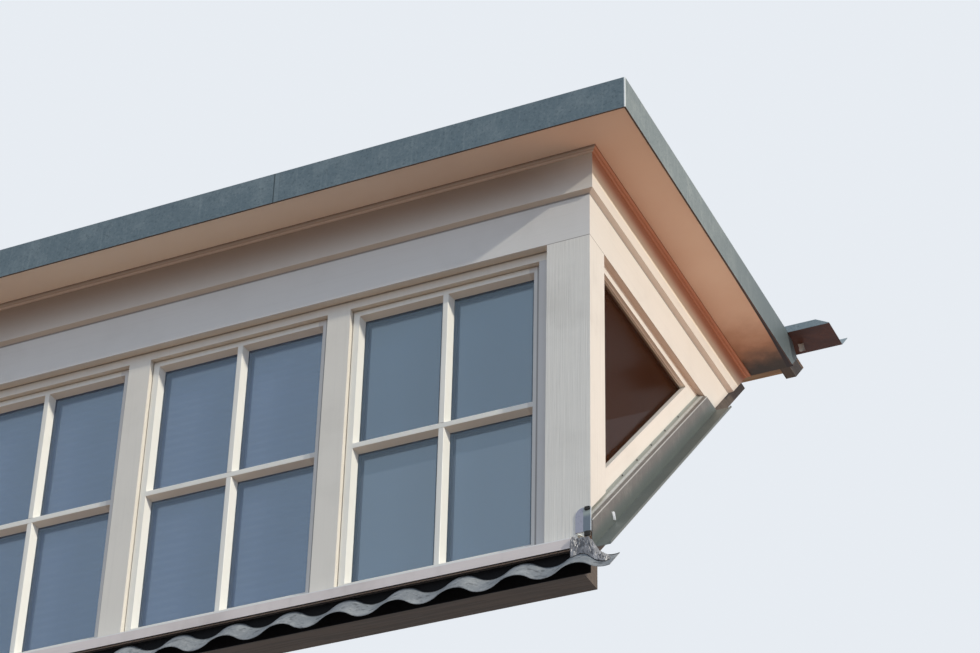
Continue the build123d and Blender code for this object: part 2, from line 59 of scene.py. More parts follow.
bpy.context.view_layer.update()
noise.seed_set(3)
Triple = tuple[float, float, float]
Colour = Triple
Range = tuple[float, float]
Number = Union["Sock", float]

PITCH = math.radians(45.5)
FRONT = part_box("corner_boards_front")[0].y
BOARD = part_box("corner_boards_front")[1].y - FRONT
HALF_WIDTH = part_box("header_board_front")[1].x
HEADER_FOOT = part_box("corner_boards_front")[1].z
FRIEZE_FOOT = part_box("frieze_board_front")[0].z
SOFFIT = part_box("soffit_front")[0].z
SIDE_FOOT_RISE = 0.108
WINDOWS = sorted(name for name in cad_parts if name.startswith("window_glass_"))
BLIND_WINDOWS = (2, 3)


class Grain(Enum):
    """The way that the fibres and the brush marks of a piece run."""

    ALONG_FRONT = "x"
    FRONT_TO_BACK = "y"
    UPRIGHT = "z"
    UP_SLOPE = "slope"


class Facing(Enum):
    """The way that a glass unit faces."""

    FRONT = "front"
    SIDE = "side"


def between(low: Any, high: Any, share: float) -> Any:
    """The value that lies a share of the way from one to another."""
    return low + (high - low) * share


def slope_height(depth: float, rise: float) -> float:
    """Height at a depth of a plane at the cheeks' pitch that passes the boards' front at this rise."""
    return rise + (depth - FRONT) * math.tan(PITCH)


class Sock:
    """An output of a shader node that takes part in arithmetic."""

    def __init__(self, tree: "Tree", socket: bpy.types.NodeSocket) -> None:
        """Hold the output and the tree that it belongs to."""
        self.tree = tree
        self.socket = socket

    def _math(self, operation: str, first: Number, second: Number = 0.0) -> "Sock":
        """Add a Math node on two values."""
        return self.tree.add("ShaderNodeMath", {"operation": operation}, {0: first, 1: second})

    def __add__(self, other: Number) -> "Sock":
        """Sum."""
        return self._math("ADD", self, other)

    __radd__ = __add__

    def __sub__(self, other: Number) -> "Sock":
        """Difference."""
        return self._math("SUBTRACT", self, other)

    def __rsub__(self, other: Number) -> "Sock":
        """Difference from a number."""
        return self._math("SUBTRACT", other, self)

    def __mul__(self, other: Number) -> "Sock":
        """Product."""
        return self._math("MULTIPLY", self, other)

    __rmul__ = __mul__

    def __abs__(self) -> "Sock":
        """Size without sign."""
        return self._math("ABSOLUTE", self)

    def modulo(self, period: float) -> "Sock":
        """Remainder that is never negative."""
        return self._math("FLOORED_MODULO", self, period)

    def power(self, exponent: float) -> "Sock":
        """Raise to a power."""
        return self._math("POWER", self, exponent)

    def most(self, other: Number) -> "Sock":
        """The larger of two values."""
        return self._math("MAXIMUM", self, other)

    def step(self, low: float, high: float) -> "Sock":
        """Rise smoothly from 0 at low to 1 at high, or fall if low is the larger."""
        inputs = {"Value": self, "From Min": low, "From Max": high, "To Min": 0.0, "To Max": 1.0}
        return self.tree.add("ShaderNodeMapRange", {"interpolation_type": "SMOOTHSTEP"}, inputs)


class Tree:
    """A node tree of a material or of the world, with one method that makes any node."""

    def __init__(self, nodes: bpy.types.NodeTree) -> None:
        """Empty the tree and hold it."""
        self.nodes = nodes
        self.nodes.nodes.clear()

    def add(self, kind: str, settings: Optional[Mapping[str, Any]] = None,
            inputs: Optional[Mapping[Union[str, int], Any]] = None, output: Union[str, int] = 0) -> Sock:
        """Make a node.

        Args:
            kind: Blender's name of the node type.
            settings: The node's own settings, such as a Math node's operation, set first.
            inputs: Values or links of its inputs, by name or number.
            output: The output to return.

        Returns:
            The chosen output, or the first input of a node that has no output.
        """
        node = self.nodes.nodes.new(kind)
        for key, value in (settings or {}).items():
            setattr(node, key, value)
        for key, value in (inputs or {}).items():
            if isinstance(value, Sock):
                self.nodes.links.new(value.socket, node.inputs[key])
            elif isinstance(value, tuple) and node.inputs[key].type == "RGBA":
                node.inputs[key].default_value = (*value, 1.0)
            else:
                node.inputs[key].default_value = value
        return Sock(self, node.outputs[output] if node.outputs else node.inputs[0])

    def part(self, vector: Sock, axis: str) -> Sock:
        """One coordinate of a vector, "X", "Y" or "Z"."""
        return self.add("ShaderNodeSeparateXYZ", inputs={0: vector}, output=axis)

    @cached_property
    def point(self) -> Sock:
        """The point on the piece, in metres."""
        return self.add("ShaderNodeTexCoord", output="Object")

    @cached_property
    def x(self) -> Sock:
        """The point's place along the front."""
        return self.part(self.point, "X")

    @cached_property
    def y(self) -> Sock:
        """The point's place from the front to the back."""
        return self.part(self.point, "Y")

    @cached_property
    def z(self) -> Sock:
        """The point's height."""
        return self.part(self.point, "Z")

    @cached_property
    def aside(self) -> Sock:
        """The point's distance from the middle of the dormer, to either side."""
        return abs(self.x)

    @cached_property
    def rise(self) -> Sock:
        """The point's height above the cheeks' pitch, which starts at the boards' front."""
        return self.z - (self.y - FRONT) * math.tan(PITCH)

    @cached_property
    def upward(self) -> Sock:
        """How far the surface faces up, from -1 on an underside to 1."""
        return self.part(self.add("ShaderNodeNewGeometry", output="Normal"), "Z")

    @cached_property
    def seen(self) -> Sock:
        """1 where the camera, a reflection or a look through glass meets a surface, and 0 for light."""
        rays = [self.add("ShaderNodeLightPath", output=f"Is {kind} Ray")
                for kind in ("Camera", "Glossy", "Transmission")]
        return rays[0].most(rays[1]).most(rays[2])

    def noise(self, scale: float, detail: float = 3.0, roughness: float = 0.6,
              vector: Optional[Sock] = None) -> Sock:
        """Soft noise from 0 to 1, mostly near 0.5, on the point or on another vector."""
        inputs = {"Vector": vector or self.point, "Scale": scale, "Detail": detail, "Roughness": roughness}
        return self.add("ShaderNodeTexNoise", inputs=inputs)

    def stretched(self, scales: Triple, detail: float, roughness: float, turn: float = 0.0) -> Sock:
        """Make noise with a scale of its own for each axis.

        Args:
            scales: The scales.
            detail: Its detail.
            roughness: Its roughness.
            turn: Angle about X by which the point is turned first, in radians.

        Returns:
            The noise.
        """
        turned = self.point
        if turn:
            turned = self.add("ShaderNodeMapping", inputs={"Vector": turned, "Rotation": (turn, 0.0, 0.0)})
        scaled = self.add("ShaderNodeVectorMath", {"operation": "MULTIPLY"}, {0: turned, 1: scales})
        return self.noise(1.0, detail, roughness, scaled)

    def grained(self, grain: Grain, scales: Range, detail: float = 3.0, roughness: float = 0.6) -> Sock:
        """Make noise that is drawn out along the grain.

        Args:
            grain: The way of the fibres.
            scales: Its scales along them and across them.
            detail: Its detail.
            roughness: Its roughness.

        Returns:
            The noise.
        """
        length, across = scales
        lying = {Grain.ALONG_FRONT: (length, across, across), Grain.UPRIGHT: (across, across, length)}
        turn = -PITCH if grain is Grain.UP_SLOPE else 0.0
        return self.stretched(lying.get(grain, (across, length, across)), detail, roughness, turn)

    def mixed(self, share: Number, first: Any, second: Any) -> Sock:
        """Blend two colours, with the share of the second."""
        settings = {"data_type": "RGBA", "clamp_factor": True}
        return self.add("ShaderNodeMix", settings, {0: share, 6: first, 7: second}, output=2)

    def bump(self, height: Number, depth: float) -> Sock:
        """The normal of a relief of this depth in metres, from its height from 0 to 1."""
        return self.add("ShaderNodeBump", inputs={"Height": height, "Distance": depth, "Strength": 1.0})

    def shader(self, inputs: Mapping[str, Any]) -> Sock:
        """The main shader with these inputs."""
        return self.add("ShaderNodeBsdfPrincipled", inputs=inputs)


class Finish:
    """A surface finish, made once as a material and kept."""

    name: str
    made: dict["Finish", bpy.types.Material] = {}

    def material(self) -> bpy.types.Material:
        """Make the material, or find it where it is made already.

        Returns:
            The material.
        """
        if self not in Finish.made:
            material = bpy.data.materials.new(self.name)
            material.use_nodes = True
            tree = Tree(material.node_tree)
            tree.add("ShaderNodeOutputMaterial", inputs={"Surface": self.surface(tree)})
            Finish.made[self] = material
        return Finish.made[self]

    def surface(self, tree: Tree) -> Sock:
        """Build the shader in the material's tree and return its output."""
        raise NotImplementedError


@dataclass(frozen=True)
class EavesShade:
    """A level band of another tone under the eaves, painted shade and painted warm bounce light, which grows
    to its share between two heights.
    """

    low: float
    high: float
    share: float
    tone: Colour


@dataclass(frozen=True)
class ShadedStiles:
    """The painted shade on every window's right-hand stile, and a dark line of painted shade in the gap
    beside it.
    """

    side: float = 1.746
    pitch: float = 0.9
    width: float = 0.05
    tone: Colour = (0.40, 0.375, 0.385)
    stile_gap_place: float = 0.008
    stile_gap_width: float = 0.006
    stile_gap_shade: Colour = (0.20, 0.185, 0.18)


@dataclass(frozen=True)
class TimberPaint(Finish):
    """Paint on timber: brush marks along the grain, clouding, grime that rain has drawn down, and painted
    light and shade.

    Each line is a pair of a height and a width: narrow lines are open joint lines, wide ones painted shade in
    creases. They stop at undersides unless set to run on. Bands under the eaves are painted shade and painted
    warm bounce light, undersides get painted shade, a pale line along an arris is a painted highlight, and
    the right-hand stiles get painted shade.
    """

    name: str
    grain: Grain
    colour: Colour = (0.80, 0.76, 0.69)
    grime: Colour = (0.47, 0.435, 0.385)
    brush_scales: Range = (4.0, 260.0)
    brush_depth: float = 0.0006
    fibre_scales: Range = (2.2, 70.0)
    fibres: float = 0.06
    cloud_scale: float = 3.1
    streaks: float = 0.22
    rain_scales: Triple = (24.0, 24.0, 1.1)
    rain: float = 0.0
    roughness: float = 0.42
    # dark lines: narrow open joint lines, and wider lines of painted shade in creases
    joints: tuple[Range, ...] = ()
    joint_and_shade_colour: Colour = (0.12, 0.085, 0.065)
    lines_on_undersides: bool = False
    # bands under the eaves of painted shade and painted warm bounce light, and the span along the front over
    # which they weaken towards the corners
    eaves_shades: tuple[EavesShade, ...] = ()
    eaves_shade_ends: Optional[Range] = None
    foot_rise: Optional[float] = None
    foot_reach: float = 0.05
    # height of a pale line along an arris: a painted highlight
    edge_highlight: Optional[float] = None
    pale: Colour = (0.88, 0.87, 0.84)
    # painted shade on faces that look down: its share, and its tone below
    underside_shade: float = 0.0
    under: Colour = (0.035, 0.03, 0.027)
    stiles: Optional[ShadedStiles] = None

    def surface(self, tree: Tree) -> Sock:
        """Build the shader.

        Args:
            tree: The material's tree.

        Returns:
            The shader's output.
        """
        brush = tree.grained(self.grain, self.brush_scales, detail=4.0)
        fibre = tree.grained(self.grain, self.fibre_scales, roughness=0.55)
        cloud = tree.noise(self.cloud_scale, detail=4.0)
        rain = tree.stretched(self.rain_scales, detail=2.0, roughness=0.5)
        shade = (rain.step(0.5, 0.85) * self.rain + cloud.step(0.45, 0.8)) * self.streaks
        shade = shade + fibre.step(0.5, 0.75) * self.fibres + brush.step(0.5, 0.8) * 0.05
        if self.foot_rise is not None:
            foot = (tree.rise + cloud * 0.03).step(self.foot_rise + self.foot_reach, self.foot_rise)
            shade = shade + foot * 0.7
        colour = tree.mixed(shade, self.colour, self.grime)
        # Painted shade and painted warm bounce light in bands under the eaves, weaker towards the corners.
        for band in self.eaves_shades:
            eaves_shade_share = (tree.z + (cloud - 0.5) * 0.012).step(band.low, band.high) * band.share
            if self.eaves_shade_ends is not None:
                eaves_shade_share = eaves_shade_share * (tree.aside.step(*self.eaves_shade_ends) * 0.6 + 0.4)
            colour = tree.mixed(eaves_shade_share, colour, band.tone)
        # Dark lines: open joint lines, and painted shade in creases where they are wide.
        for height, width in self.joints:
            gap = abs(tree.z - height).step(width, width * 0.3) * 0.75
            if not self.lines_on_undersides:
                gap = gap * tree.upward.step(-0.5, -0.2)
            colour = tree.mixed(gap, colour, self.joint_and_shade_colour)
        # A pale line along an arris: painted highlight.
        if self.edge_highlight is not None:
            colour = tree.mixed(abs(tree.z - self.edge_highlight).step(0.005, 0.003) * 0.7, colour, self.pale)
        # Painted shade on the right-hand stiles, and in the gap beside them.
        if self.stiles is not None:
            stiles = self.stiles
            inward = (stiles.side - tree.x).modulo(stiles.pitch)
            colour = tree.mixed(inward.step(stiles.width, stiles.width * 0.85) * 0.4, colour, stiles.tone)
            stile_gap_shade = abs(inward - stiles.stile_gap_place).step(stiles.stile_gap_width, stiles.stile_gap_width / 2)
            colour = tree.mixed(stile_gap_shade * 0.75, colour, stiles.stile_gap_shade)
        # Painted shade on faces that look down.
        if self.underside_shade:
            colour = tree.mixed(tree.upward.step(-0.4, -0.8) * self.underside_shade, colour, self.under)
        return tree.shader({
            "Base Color": colour,
            "Roughness": self.roughness + brush * 0.2,
            "Normal": tree.bump(brush * 0.6 + fibre * 0.4, self.brush_depth),
            "IOR": 1.48,
        })


@dataclass(frozen=True)
class SlitShade:
    """Painted shade of the gap beside the side fascias, on the soffit: its X, where it starts and how far it
    runs.
    """

    side: float
    start: float
    length: float
    tone: Colour = (0.03, 0.016, 0.011)


@dataclass(frozen=True)
class SoffitPaint(Finish):
    """Beige paint on smooth boards with roller texture, warmer than the walls' paint as painted warm bounce
    light; painted light in the middle, painted shade with warm bounce light at the front corners, warm
    painted bounce light and then painted shade at the back ends, and painted shade of the gap beside the side
    fascias.
    """

    name: str = "soffit_paint"
    # beige, warmer than the walls' paint: partly painted warm bounce light
    colour: Colour = (0.85, 0.69, 0.58)
    deep_tone_and_shade: Colour = (0.75, 0.56, 0.45)
    back_end_shade: Colour = (0.03, 0.027, 0.018)
    back_end_warm_light: Colour = (0.44, 0.225, 0.13)
    painted_mid_light: Colour = (0.92, 0.77, 0.64)
    cloud_scale: float = 1.7
    stipple_scale: float = 420.0
    blotch_scale: float = 9.0
    foot_rise: float = SIDE_FOOT_RISE
    slit_shade: Optional[SlitShade] = None

    def surface(self, tree: Tree) -> Sock:
        """Build the shader.

        Args:
            tree: The material's tree.

        Returns:
            The shader's output.
        """
        cloud = tree.noise(self.cloud_scale, 4.0, 0.55)
        stipple = tree.noise(self.stipple_scale, 2.0, 0.5)
        blotch = tree.noise(self.blotch_scale, 4.0)
        colour = tree.mixed(cloud.step(0.35, 0.7) * 0.6 + blotch * 0.2, self.colour, self.deep_tone_and_shade)
        # Lighter in the middle: painted light.
        colour = tree.mixed(tree.aside.step(1.2, 0.2) * 0.8, colour, self.painted_mid_light)
        # Deeper at the front corners: painted shade with warm bounce light.
        corner = tree.aside.step(1.1, 2.1) * tree.y.step(0.6, -0.1)
        colour = tree.mixed(corner * 0.9, colour, self.deep_tone_and_shade)
        # Towards the back ends, where the soffit meets the roof: warm painted bounce light, then painted
        # shade.
        foot = tree.rise + (blotch - 0.5) * 0.22 - self.foot_rise
        colour = tree.mixed(foot.step(0.50, 0.18) * 0.8, colour, self.back_end_warm_light)
        colour = tree.mixed(foot.step(0.26, 0.02) * 0.95, colour, self.back_end_shade)
        # Painted shade of the gap beside the fascia, widening towards the back.
        if self.slit_shade is not None:
            share = ((tree.y - self.slit_shade.start) * (1 / self.slit_shade.length)).most(0.0)
            width = share * 0.0055 + share.power(6.0) * 0.022 + 0.004
            inside = self.slit_shade.side - tree.aside
            colour = tree.mixed((inside - width).step(0.002, -0.001), colour, self.slit_shade.tone)
        return tree.shader({
            "Base Color": colour,
            "Roughness": 0.5 + stipple * 0.2,
            "Normal": tree.bump(stipple, 0.0004),
            "IOR": 1.45,
        })


@dataclass(frozen=True)
class ZincSheet(Finish):
    """Weathered zinc: blue-grey patina in clouds and specks, undersides in painted shade and reflection, and
    bright corners of solder with a painted highlight.

    The corner is its X and Y, the seams are places along the front, and the creases are rises above the
    cheeks' pitch. A sheet with creases turns to its foot tone below them and its strip tone above them, and
    its creases are worn and carry a painted highlight. A sheet with a back range darkens towards the back:
    painted shade.
    """

    name: str = "zinc_sheet"
    colour: Colour = (0.112, 0.155, 0.178)
    pale: Colour = (0.195, 0.240, 0.255)
    speck: Colour = (0.036, 0.055, 0.062)
    # tone of undersides: painted shade with a painted reflection of the roof
    underside: Colour = (0.075, 0.04, 0.026)
    # how much brighter the cloudy parts of the undersides' painted shade and reflection get
    stained: float = 2.4
    # colour of the soldered corner, brightened as a painted highlight
    solder_and_highlight: Colour = (0.86, 0.87, 0.84)
    # colour of the creases: wear with a painted highlight
    worn_and_highlit: Colour = (0.62, 0.63, 0.61)
    cloud_scale: float = 7.0
    spangle_scale: float = 95.0
    speck_scale: float = 240.0
    run_scales: Triple = (60.0, 60.0, 5.0)
    corner: Optional[Range] = None
    seams: tuple[float, ...] = ()
    seam_lap: float = 0.024
    creases: tuple[float, ...] = ()
    foot: Range = (0.13, 0.18)
    foot_tone: Colour = (0.12, 0.145, 0.135)
    strip_tone: Colour = (0.38, 0.40, 0.36)
    # range along Y over which the sheet darkens towards the back: painted shade
    painted_back_shade: Optional[Range] = None

    def surface(self, tree: Tree) -> Sock:
        """Build the shader.

        Args:
            tree: The material's tree.

        Returns:
            The shader's output.
        """
        cloud = tree.noise(self.cloud_scale, 5.0, 0.62)
        spangle = tree.noise(self.spangle_scale)
        specks = tree.noise(self.speck_scale, 2.0, 0.5)
        runs = tree.stretched(self.run_scales, 3.0, 0.6)
        mottled = spangle.step(0.5, 0.7)
        pale = cloud.step(0.45, 0.68) * 0.45 + mottled * 0.4 + runs.step(0.52, 0.75) * 0.35
        colour = tree.mixed(pale, self.colour, self.pale)
        dark = spangle.step(0.44, 0.3) * 0.45 + specks.step(0.64, 0.72) * 0.5
        colour = tree.mixed(dark, colour, self.speck)
        # Darker towards the back: painted shade.
        if self.painted_back_shade is not None:
            colour = tree.mixed(tree.y.step(*self.painted_back_shade) * 0.8, colour, self.speck)
        for seam in self.seams:
            gap = (tree.x - seam) * math.copysign(1.0, seam)
            lap = gap.step(0.0, 0.002) * gap.step(self.seam_lap + 0.003, self.seam_lap)
            colour = tree.mixed(lap * 0.30, colour, self.pale)
            fold = abs(gap - self.seam_lap).step(0.003, 0.0) * 0.35 + abs(gap).step(0.0045, 0.001) * 0.8
            colour = tree.mixed(fold, colour, self.speck)
        if self.creases:
            foot = (tree.rise + (cloud - 0.5) * 0.05).step(self.foot[1], self.foot[0])
            colour = tree.mixed(foot * 0.75, colour, self.foot_tone)
            top = max(self.creases)
            colour = tree.mixed(tree.rise.step(top - 0.001, top + 0.003) * 0.75, colour, self.strip_tone)
            # Bright lines along the creases: wear with a painted highlight.
            for crease in self.creases:
                rubbed_and_highlit = abs(tree.rise - crease).step(0.0042, 0.0018) * (spangle.step(0.3, 0.5) * 0.4 + 0.45)
                colour = tree.mixed(rubbed_and_highlit, colour, self.worn_and_highlit)
        # Undersides turn dark brown: painted shade with a painted reflection of the roof, varied in clouds.
        stained = tuple(value * self.stained for value in self.underside)
        below = tree.mixed(cloud.step(0.42, 0.7) * 0.45 + mottled * 0.25, self.underside, stained)
        colour = tree.mixed(tree.upward.step(-0.35, -0.8), colour, below)
        # A bright line at the corner: solder, with a painted highlight.
        if self.corner is not None:
            away = abs(tree.aside - self.corner[0]) + abs(tree.y - self.corner[1])
            bright_corner = (away + (spangle - 0.5) * 0.004).step(0.0065, 0.003)
            colour = tree.mixed(bright_corner * tree.upward.step(-0.5, -0.1), colour, self.solder_and_highlight)
        return tree.shader({
            "Base Color": colour,
            "Metallic": 0.35,
            "Roughness": 0.42 + spangle * 0.25,
            "Normal": tree.bump(cloud * 0.6 + spangle * 0.4, 0.0014),
        })


@dataclass(frozen=True)
class CornerZinc(Finish):
    """Bent zinc at the foot of the corner: a pale lilac-grey leaf, a darker folded one and a bright edge that
    is a painted highlight.
    """

    name: str = "corner_zinc"
    leaf: Colour = (0.36, 0.36, 0.425)
    fold: Colour = (0.155, 0.19, 0.225)
    head: Colour = (0.33, 0.37, 0.35)
    # colour of the painted highlight along the arris
    edge: Colour = (0.80, 0.82, 0.84)
    dirt: Colour = (0.12, 0.13, 0.15)
    cloud_scale: float = 26.0
    fine_scale: float = 180.0
    fold_from: float = 1.9455
    highlight_from: float = 1.9715
    head_height: float = 0.232

    def surface(self, tree: Tree) -> Sock:
        """Build the shader.

        Args:
            tree: The material's tree.

        Returns:
            The shader's output.
        """
        cloud = tree.noise(self.cloud_scale)
        fine = tree.noise(self.fine_scale)
        fold = tree.mixed((tree.z - self.head_height).step(-0.014, 0.006), self.fold, self.head)
        folded = (tree.aside + (cloud - 0.5) * 0.004 - self.fold_from).step(-0.001, 0.001)
        colour = tree.mixed(folded, self.leaf, fold)
        # A bright line along the corner's arris: painted highlight.
        colour = tree.mixed((tree.aside - self.highlight_from).step(0.0, 0.002) * 0.85, colour, self.edge)
        colour = tree.mixed(fine.step(0.55, 0.75) * 0.35, colour, self.dirt)
        return tree.shader({
            "Base Color": colour,
            "Metallic": 0.3,
            "Roughness": 0.42 + fine * 0.25,
            "Normal": tree.bump(cloud * 0.7 + fine * 0.3, 0.0012),
        })


@dataclass(frozen=True)
class LeadSheet(Finish):
    """Dressed lead: dull grey with a pale bloom, dark runs, mallet marks and fine creases.

    Behind a given depth along Y it is black: painted shade in the recess under the sill.
    """

    name: str = "lead_sheet"
    colour: Colour = (0.225, 0.235, 0.245)
    bloom: Colour = (0.43, 0.43, 0.42)
    dark: Colour = (0.065, 0.068, 0.075)
    # tone of the painted shade in the recess under the sill
    dirt: Colour = (0.008, 0.008, 0.009)
    marks: float = 0.0022
    roughness: float = 0.55
    metallic: float = 0.25
    gloss: float = 1.45
    cloud_scale: float = 11.0
    fine_scale: float = 130.0
    dent_scale: float = 34.0
    fineness: float = 1.0
    shade_from: Optional[float] = None

    def surface(self, tree: Tree) -> Sock:
        """Build the shader.

        Args:
            tree: The material's tree.

        Returns:
            The shader's output.
        """
        cloud = tree.noise(self.cloud_scale * self.fineness, 5.0, 0.65)
        fine = tree.noise(self.fine_scale * self.fineness, 4.0)
        dents = tree.noise(self.dent_scale * self.fineness, 2.0, 0.5)
        bloom = cloud.step(0.42, 0.7) * 0.6 + fine.step(0.5, 0.7) * 0.3
        colour = tree.mixed(bloom, self.colour, self.bloom)
        colour = tree.mixed(dents.step(0.46, 0.3) * 0.6 + fine.step(0.42, 0.3) * 0.3, colour, self.dark)
        # Painted shade: black in the recess under the sill.
        if self.shade_from is not None:
            colour = tree.mixed((tree.y - self.shade_from).step(-0.012, 0.0), colour, self.dirt)
        return tree.shader({
            "Base Color": colour,
            "Metallic": self.metallic,
            "Roughness": self.roughness + fine * 0.2,
            "Normal": tree.bump(dents * 0.8 + fine * 0.2, self.marks),
            "IOR": self.gloss,
        })


@dataclass(frozen=True)
class BareTimber(Finish):
    """Planed softwood: straight rings and fine fibres, in boards where it has a board width."""

    name: str
    grain: Grain
    early: Colour = (0.40, 0.29, 0.185)
    late: Colour = (0.25, 0.165, 0.095)
    joint: Colour = (0.05, 0.035, 0.025)
    ring_scales: Range = (0.7, 14.0)
    rings: float = 9.0
    fibre_scales: Range = (8.0, 420.0)
    board_width: Optional[float] = None

    def surface(self, tree: Tree) -> Sock:
        """Build the shader.

        Args:
            tree: The material's tree.

        Returns:
            The shader's output.
        """
        drift = tree.grained(self.grain, self.ring_scales, roughness=0.5)
        rings = (drift * self.rings).modulo(1.0)
        bands = rings.step(0.15, 0.75) * rings.step(1.0, 0.9)
        fibre = tree.grained(self.grain, self.fibre_scales)
        colour = tree.mixed(bands * 0.55 + fibre * 0.25, self.early, self.late)
        height = fibre * 0.6 + bands * 0.4
        if self.board_width is not None:
            gap = abs(tree.y.modulo(self.board_width) - self.board_width / 2).step(0.002, 0.0008)
            colour = tree.mixed(gap * 0.85, colour, self.joint)
            height = height - gap * 2.0
        return tree.shader({
            "Base Color": colour,
            "Roughness": 0.55 + fibre * 0.2,
            "Normal": tree.bump(height, 0.0006),
        })


@dataclass(frozen=True)
class SealedGlass(Finish):
    """Sealed unit as one slab: a clear mirror-like outer pane and a tinted inner one behind back_from, whose
    tone is painted shade and a painted reflection.
    """

    name: str
    facing: Facing
    back_from: float
    # tone of the inner pane: painted shade of what lies behind, with a painted reflection
    inner_shade_tone: Colour = (0.045, 0.075, 0.13)
    drift_gain: float = 1.35
    clear_alpha: float = 0.34
    inner_alpha: float = 0.88
    mirror: float = 3.1
    haze: float = 0.02
    # colour of reflections: a painted reflection colour, bluish sky by default
    reflection_tint: Colour = (0.66, 0.86, 1.0)
    drift_scale: float = 2.3
    wave_scale: float = 3.5
    ripple: float = 0.0015

    def surface(self, tree: Tree) -> Sock:
        """Build the shader.

        Args:
            tree: The material's tree.

        Returns:
            The shader's output.
        """
        inward = self.back_from - tree.aside if self.facing is Facing.SIDE else tree.y - self.back_from
        drift = tree.noise(self.drift_scale, 2.0, 0.5)
        wave = tree.noise(self.wave_scale, 1.0, 0.4)
        paler = tuple(value * self.drift_gain for value in self.inner_shade_tone)
        alpha = inward.step(-0.001, 0.001) * (self.inner_alpha - self.clear_alpha) + self.clear_alpha
        # The inner pane's tone is painted shade and painted reflection, and reflections take a painted tint.
        return tree.shader({
            "Base Color": tree.mixed(drift, self.inner_shade_tone, paler),
            "Roughness": self.haze + drift * 0.03,
            "Alpha": alpha,
            "Normal": tree.bump(wave, self.ripple),
            "IOR": self.mirror,
            "Specular Tint": self.reflection_tint,
        })


@dataclass(frozen=True)
class PlainCoat(Finish):
    """A small part's coating with slight clouding and a fine texture."""

    name: str
    colour: Colour
    shade: Colour
    roughness: float = 0.5
    metallic: float = 0.0
    scale: float = 60.0
    depth: float = 0.0003

    def surface(self, tree: Tree) -> Sock:
        """Build the shader.

        Args:
            tree: The material's tree.

        Returns:
            The shader's output.
        """
        cloud = tree.noise(self.scale)
        return tree.shader({
            "Base Color": tree.mixed(cloud.step(0.4, 0.7), self.colour, self.shade),
            "Metallic": self.metallic,
            "Roughness": self.roughness + cloud * 0.15,
            "Normal": tree.bump(cloud, self.depth),
        })


@dataclass(frozen=True)
class FloorPaper(Finish):
    """Pale studio paper that throws a warm light back on undersides."""

    name: str = "FloorPaper"
    pale: Colour = (0.74, 0.76, 0.79)
    bounce: Colour = (0.40, 0.285, 0.20)

    def surface(self, tree: Tree) -> Sock:
        """Build the shader in the material's tree and return its output."""
        colour = tree.mixed(tree.seen, self.bounce, self.pale)
        return tree.add("ShaderNodeBsdfDiffuse", inputs={"Color": colour})


def placed(name: str, data: bpy.types.ID) -> bpy.types.Object:
    """Put a new object into the scene.

    Args:
        name: Its name.
        data: Its mesh, light or camera.

    Returns:
        The object.
    """
    thing = bpy.data.objects.new(name, data)
    bpy.context.scene.collection.objects.link(thing)
    return thing


